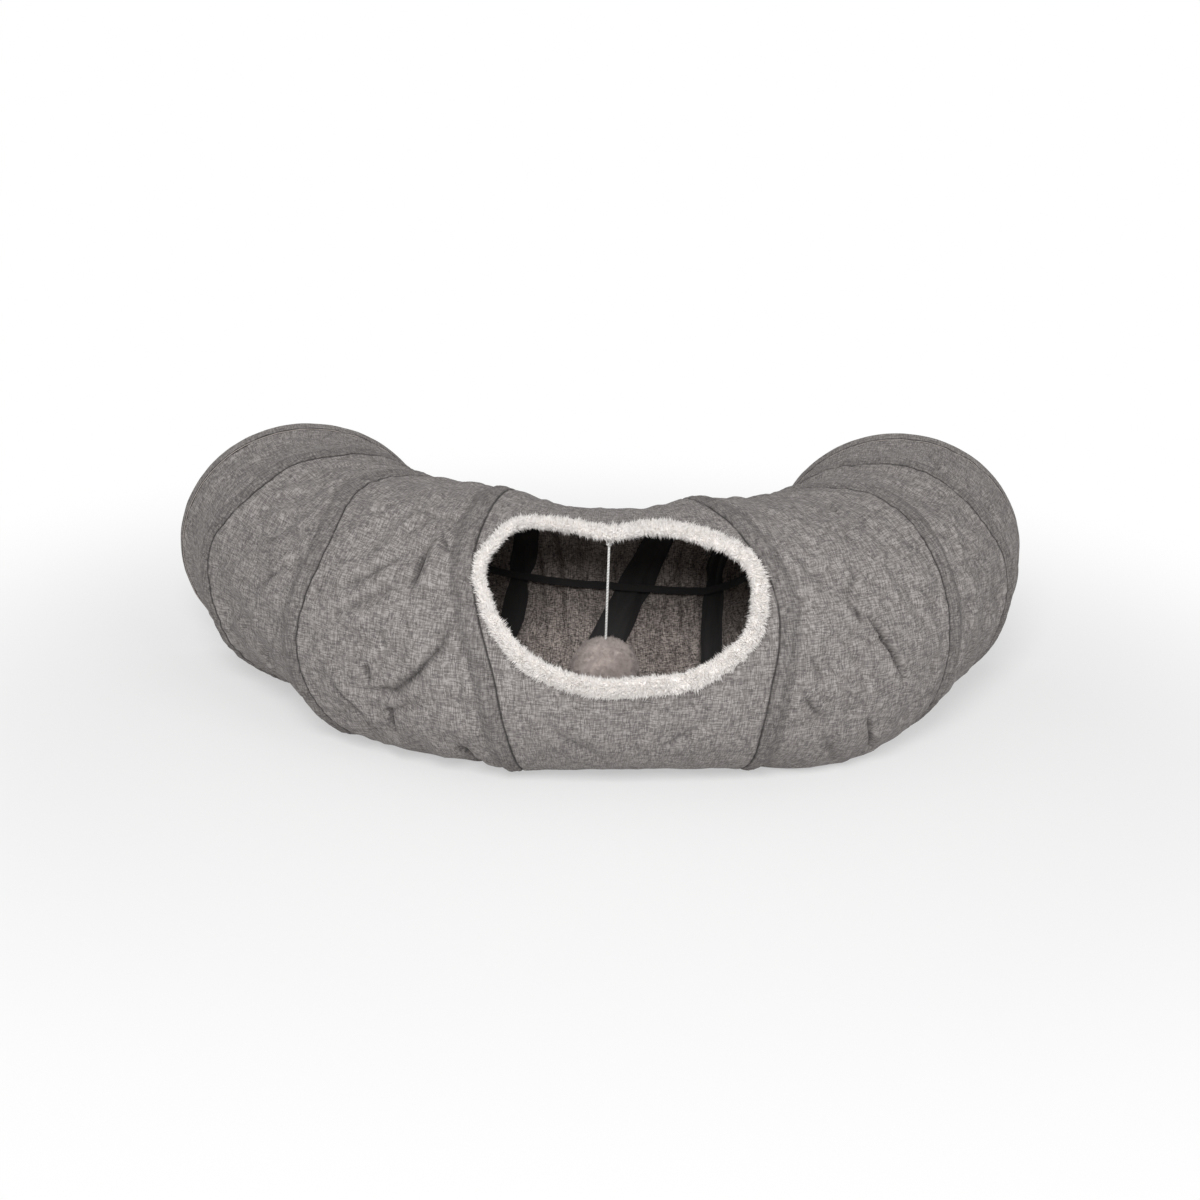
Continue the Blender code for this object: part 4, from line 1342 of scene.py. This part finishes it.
@dataclass
class PileMaker:
    """Sets tufts on a surface."""

    sections: int
    seed: int
    unevenness: float = 0.35
    droop: float = 0.6
    taper: float = 0.85

    def grow(self, roots: Array, normals: Array, lean: Array, length: float, thickness: float) -> BMesh:
        """Grows a tuft at each root.

        Args:
            roots: Where the tufts stand.
            normals: Which way they stand.
            lean: Which way, and how far, each one bends over.
            length: Their mean length.
            thickness: Their radius at the root.

        Returns:
            A bmesh with all the tufts.
        """
        rng = np.random.default_rng(self.seed)
        tuft = tuft_mesh(self.sections)
        x, y, height = (np.array([v.co[i] for v in tuft.vertices])[None, :, None] for i in range(3))
        count, bm = len(roots), bmesh.new()
        for _ in range(count):
            bm.from_mesh(tuft)
        bpy.data.meshes.remove(tuft)
        lengths = length * rng.uniform(0.7, 1.2, count)
        spin = rng.uniform(0, 2 * np.pi, count)
        helper = np.where(np.abs(normals[:, 2:3]) < 0.9, [[0.0, 0.0, 1.0]], [[1.0, 0.0, 0.0]])
        side = unit_rows(np.cross(normals, helper))
        other = np.cross(normals, side)
        bend = lean + self.unevenness * rng.normal(size=(count, 3))
        cos, sin = np.cos(spin)[:, None, None], np.sin(spin)[:, None, None]
        across = (x * cos - y * sin) * side[:, None, :] + (x * sin + y * cos) * other[:, None, :]
        stem = normals[:, None, :] * height + bend[:, None, :] * height ** 2 * self.droop
        narrowed = 1 - self.taper * height ** 1.5
        points = roots[:, None, :] + stem * lengths[:, None, None] + across * thickness * narrowed
        bm.verts.ensure_lookup_table()
        for vert, point in zip(bm.verts, points.reshape(-1, 3)):
            vert.co = point
        return bm


@dataclass
class PeepholeTrim:
    """The plush roll sewn round the peephole: a soft core and its pile."""

    form: ClothForm
    outline: PeepholeOutline
    half_width: float = 6.6 * MM
    half_height: float = 3.6 * MM
    pile: float = 4.2 * MM
    tuft_radius: float = 0.70 * MM
    stations: int = 220
    sides: int = 18
    tufts: int = 15000

    def frames(self, angles: Array) -> tuple[Array, Array, Array, Array]:
        """Middles, outward normals, sideways and lengthways directions of the roll."""
        form, bend = self.form, self.form.plan.bend

        def middle(at: Array, out: float) -> Array:
            """Points over or under the cloth's edge."""
            sweep, around = self.outline.at(at)
            return bend.place(sweep, around, form.relief(MIDDLE_STRIP, sweep, around)[0] + out)

        here = middle(angles, 0.0)
        out = unit_rows(middle(angles, 4 * MM) - here)
        along = unit_rows(middle(angles + 0.02, 0.0) - middle(angles - 0.02, 0.0))
        return here - out * form.cloth / 2, out, unit_rows(np.cross(along, out)), along

    def skin(self, angles: Array, turns: Array, swell: Array) -> tuple[Array, Array, Array]:
        """Points on the roll, with their normals and lengthways directions."""
        middle, out, across, along = self.frames(angles)
        cos, sin = np.cos(turns)[:, None], np.sin(turns)[:, None]
        full = eased_table(self.outline.fullness, half_turn(np.degrees(angles)), 9.0)[:, None]
        offset = (across * cos * self.half_width + out * sin * self.half_height) * full
        normal = unit_rows(across * cos / self.half_width + out * sin / self.half_height)
        return middle + offset * swell[:, None], normal, along

    def core(self) -> BMesh:
        """The roll without its pile, a little lumpy."""
        bm = bmesh.new()

        def place(across: Array, along: Array) -> Pair:
            """Wraps the grid round the outline."""
            angles, turns = 2 * np.pi * along, 2 * np.pi * across
            lumps = soft_noise(columns_of(np.cos(angles) * 9, np.sin(angles) * 9, turns), 17)
            return self.skin(angles, turns, 1 + 0.08 * lumps)[0], columns_of(across * 0.03, along * 0.6)

        mapped_grid(bm, self.sides, self.stations, place)
        merge_doubles(bm)
        bmesh.ops.recalc_face_normals(bm, faces=bm.faces)
        return bm

    def dress(self, shop: Workshop) -> None:
        """Makes the core and the pile."""
        core = shop.piece("peephole_trim_core", self.core(), "plush")
        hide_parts("peephole_roll")
        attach(core, "peephole_bay")
        rng = np.random.default_rng(11)
        for name, start in (("upper", 0.0), ("lower", np.pi)):
            angles = start + rng.uniform(0, np.pi, self.tufts)
            turns = rng.uniform(0, 2 * np.pi, self.tufts)
            places = columns_of(np.cos(angles) * 15, np.sin(angles) * 15, turns * 1.4)
            clump = columns_of(*(soft_noise(places, seed) for seed in (18, 19, 20)))
            roots, normals, along = self.skin(angles, turns, np.full(self.tufts, 0.95))
            lean = 1.3 * clump + 0.35 * along
            pile = PileMaker(2, 5).grow(roots, normals, lean, self.pile, self.tuft_radius)
            made = shop.piece(f"peephole_trim_{name}_pile", pile, "plush")
            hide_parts("peephole_roll")
            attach(made, "peephole_bay")
        LOG.info("peephole trim: %d tufts", 2 * self.tufts)


@dataclass
class HangingBall:
    """The faux fur ball, its cord and the knot under the trim."""

    knot: tuple[float, float, float] = (-0.01095, -0.03014, 0.21903)
    cord_top: float = 0.21613
    cord_length: float = 87.5 * MM
    cord_diameter: float = 2.2 * MM
    ball_radius: float = 30 * MM
    tufts: int = 21000
    pile: float = 2.5 * MM
    tuft_radius: float = 0.36 * MM
    cord_steps: int = 17

    def dress(self, shop: Workshop) -> None:
        """Makes the four pieces."""
        x, y, _ = self.knot
        centre = Vector((x, y, self.cord_top - self.cord_length - 0.3 * MM - self.ball_radius))
        self.ball(shop, centre)
        self.fur(shop, centre)
        self.cord(shop)
        self.tie(shop)
        LOG.info("ball: %d tufts", self.tufts)

    def ball(self, shop: Workshop, centre: Vector) -> None:
        """The ball's stuffed core, a little uneven."""
        bm = bmesh.new()
        bmesh.ops.create_uvsphere(bm, u_segments=64, v_segments=40, radius=self.ball_radius - 1.2 * MM)
        for vert in bm.verts:
            vert.co *= 1 + 0.03 * noise.noise(vert.co / 0.02) + 0.012 * noise.noise(vert.co / 0.005)
        bmesh.ops.translate(bm, verts=bm.verts, vec=centre)
        made = shop.piece("ball_core", bm, "faux_fur")
        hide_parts("plush_ball")
        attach(made, "ball")

    def fur(self, shop: Workshop, centre: Vector) -> None:
        """The ball's pile, its roots spread evenly on a spiral."""
        index = np.arange(self.tufts) + 0.5
        polar, turn = np.arccos(1 - 2 * index / self.tufts), np.pi * (1 + 5 ** 0.5) * index
        normals = columns_of(np.cos(turn) * np.sin(polar), np.sin(turn) * np.sin(polar), np.cos(polar))
        roots = np.array(centre) + normals * (self.ball_radius - 1.7 * MM)
        clump = columns_of(*(soft_noise(normals * 7.0, seed) for seed in (21, 22, 23)))
        pile = PileMaker(2, 9).grow(roots, normals, 1.4 * clump, self.pile, self.tuft_radius)
        made = shop.piece("ball_pile", pile, "faux_fur")
        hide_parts("plush_ball")
        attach(made, "ball")

    def cord(self, shop: Workshop) -> None:
        """The cord, hanging straight from the knot into the ball."""
        x, y, _ = self.knot
        steps = self.cord_steps
        line = [(x, y, self.cord_top - self.cord_length * i / steps) for i in range(steps + 1)]
        made = round_line("cord", line, self.cord_diameter, 4)
        made.data.materials.append(shop.finishes["cord"])
        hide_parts("ball_cord")
        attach(made, "ball")

    def tie(self, shop: Workshop) -> None:
        """The knot under the trim."""
        bm = bmesh.new()
        bmesh.ops.create_uvsphere(bm, u_segments=24, v_segments=16, radius=2.6 * MM)
        for vert in bm.verts:
            turn = math.atan2(vert.co.y, vert.co.x)
            vert.co *= 1 + 0.10 * math.sin(3 * turn + vert.co.z / (0.5 * MM))
        bmesh.ops.translate(bm, verts=bm.verts, vec=self.knot)
        made = shop.piece("knot", bm, "cord")
        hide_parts("cord_knot")
        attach(made, "cord_top")


def seen_directly(tree: NodeTree) -> NodeSocket:
    """One for what the camera sees, also in mirrors and through glass, and nought for light on the object."""
    path = add_node(tree, "LightPath")
    mirrored = add_node(tree, "Math", {"operation": "MAXIMUM"},
                        {0: path.outputs["Is Glossy Ray"], 1: path.outputs["Is Transmission Ray"]})
    seen = add_node(tree, "Math", {"operation": "MAXIMUM"},
                    {0: path.outputs["Is Camera Ray"], 1: mirrored.outputs[0]})
    return seen.outputs[0]


@dataclass(frozen=True)
class Studio:
    """Plain white surroundings, soft light, and the camera at the photograph's angle.

    The angles are in degrees. A lamp has a name, a place, a size and a strength in watts.
    """

    azimuth: float = -2.98
    elevation: float = 21.29
    roll: float = 1.97
    distance: float = 2.158
    aim: tuple[float, float, float] = (-0.0105, 0.100, 0.115)
    focal_pixels: float = 2288.0
    picture_pixels: float = 1200.0
    sensor: float = 36.0
    world_light: float = 0.36
    lamps: tuple = (("key", (-0.35, -2.3, 1.9), 0.9, 56.0), ("fill", (1.3, -1.9, 1.7), 1.2, 10.0))

    def camera(self) -> None:
        """Sets up the camera."""
        data = bpy.data.cameras.new("camera")
        data.sensor_fit, data.sensor_width = "HORIZONTAL", self.sensor
        data.lens = self.focal_pixels / self.picture_pixels * self.sensor
        data.clip_start, data.clip_end = 0.05, 50.0
        az, el, roll = (math.radians(v) for v in (self.azimuth, self.elevation, self.roll))
        back = Vector((math.sin(az) * math.cos(el), -math.cos(az) * math.cos(el), math.sin(el)))
        right = (-back).cross(Vector((0, 0, 1))).normalized()
        up = right.cross(-back)
        turned_right = right * math.cos(roll) + up * math.sin(roll)
        turned_up = up * math.cos(roll) - right * math.sin(roll)
        place = Matrix((turned_right, turned_up, back)).transposed().to_4x4()
        place.translation = Vector(self.aim) + back * self.distance
        made = add_object("camera", data)
        made.matrix_world = place
        bpy.context.scene.camera = made

    def light(self) -> None:
        """Sets up the world and the lamps. The world looks white, and lights the object less."""
        scene = bpy.context.scene
        scene.view_settings.view_transform = "Standard"
        world = bpy.data.worlds.new("studio")
        scene.world = world
        world.use_nodes = True
        tree = world.node_tree
        tree.nodes.clear()
        soft = add_node(tree, "Background", {"Color": (1.0, 1.0, 1.0, 1.0), "Strength": self.world_light})
        white = add_node(tree, "Background", {"Color": (1.0, 1.0, 1.0, 1.0), "Strength": 1.0})
        mix = add_node(tree, "MixShader", {}, {0: seen_directly(tree), 1: soft.outputs[0], 2: white.outputs[0]})
        add_node(tree, "OutputWorld", {}, {"Surface": mix.outputs[0]})
        for name, place, size, watts in self.lamps:
            lamp = bpy.data.lights.new(name, "AREA")
            lamp.energy, lamp.size = watts, size
            made = add_object(name, lamp)
            made.location = place
            made.rotation_euler = (Vector((0, 0.1, 0.1)) - Vector(place)).to_track_quat("-Z", "Y").to_euler()

    def floor(self) -> None:
        """Lays the white floor. It keeps the shadow near the object and fades to plain white further out."""
        bm = bmesh.new()
        bmesh.ops.create_grid(bm, x_segments=1, y_segments=1, size=6.0)
        mesh = bpy.data.meshes.new("floor")
        bm.to_mesh(mesh)
        bm.free()
        made = add_object("floor", mesh)
        material = bpy.data.materials.new("white_paper_sweep")
        material.use_nodes = True
        tree = material.node_tree
        shader = tree.nodes["Principled BSDF"]
        shader.inputs["Base Color"].default_value = (0.92, 0.92, 0.92, 1.0)
        shader.inputs["Roughness"].default_value = 1.0
        shader.inputs["Specular IOR Level"].default_value = 0.0
        coords = add_node(tree, "TexCoord")
        far = add_node(tree, "VectorMath", {"operation": "LENGTH"}, {0: coords.outputs["Object"]})
        fade = add_node(tree, "MapRange", {"From Min": 0.45, "From Max": 0.95, "To Min": 0.5, "To Max": 1.0,
                                           "interpolation_type": "SMOOTHSTEP"}, {"Value": far.outputs["Value"]})
        faded = add_node(tree, "Math", {"operation": "MULTIPLY"}, {0: fade.outputs[0], 1: seen_directly(tree)})
        white = add_node(tree, "Emission", {"Color": (1.0, 1.0, 1.0, 1.0), "Strength": 1.0})
        mix = add_node(tree, "MixShader", {}, {0: faded.outputs[0], 1: shader.outputs[0], 2: white.outputs[0]})
        feed(tree, tree.nodes["Material Output"], {"Surface": mix.outputs[0]})
        mesh.materials.append(material)

    def build(self) -> None:
        """Sets up the whole studio."""
        self.camera()
        self.light()
        self.floor()


def main() -> None:
    """Builds the scene."""
    logging.basicConfig(level=logging.INFO, format="%(name)s: %(message)s")
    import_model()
    Studio().build()
    shop = Workshop()
    form, outline = ClothForm(), PeepholeOutline()
    for maker in (SpringWire(form), ClothTube(form, outline), MouthHems(form), BindingTapes(form),
                  GatheringStrap(form), PeepholeTrim(form, outline), HangingBall()):
        maker.dress(shop)
    bpy.context.view_layer.update()


if __name__ == "__main__":
    main()
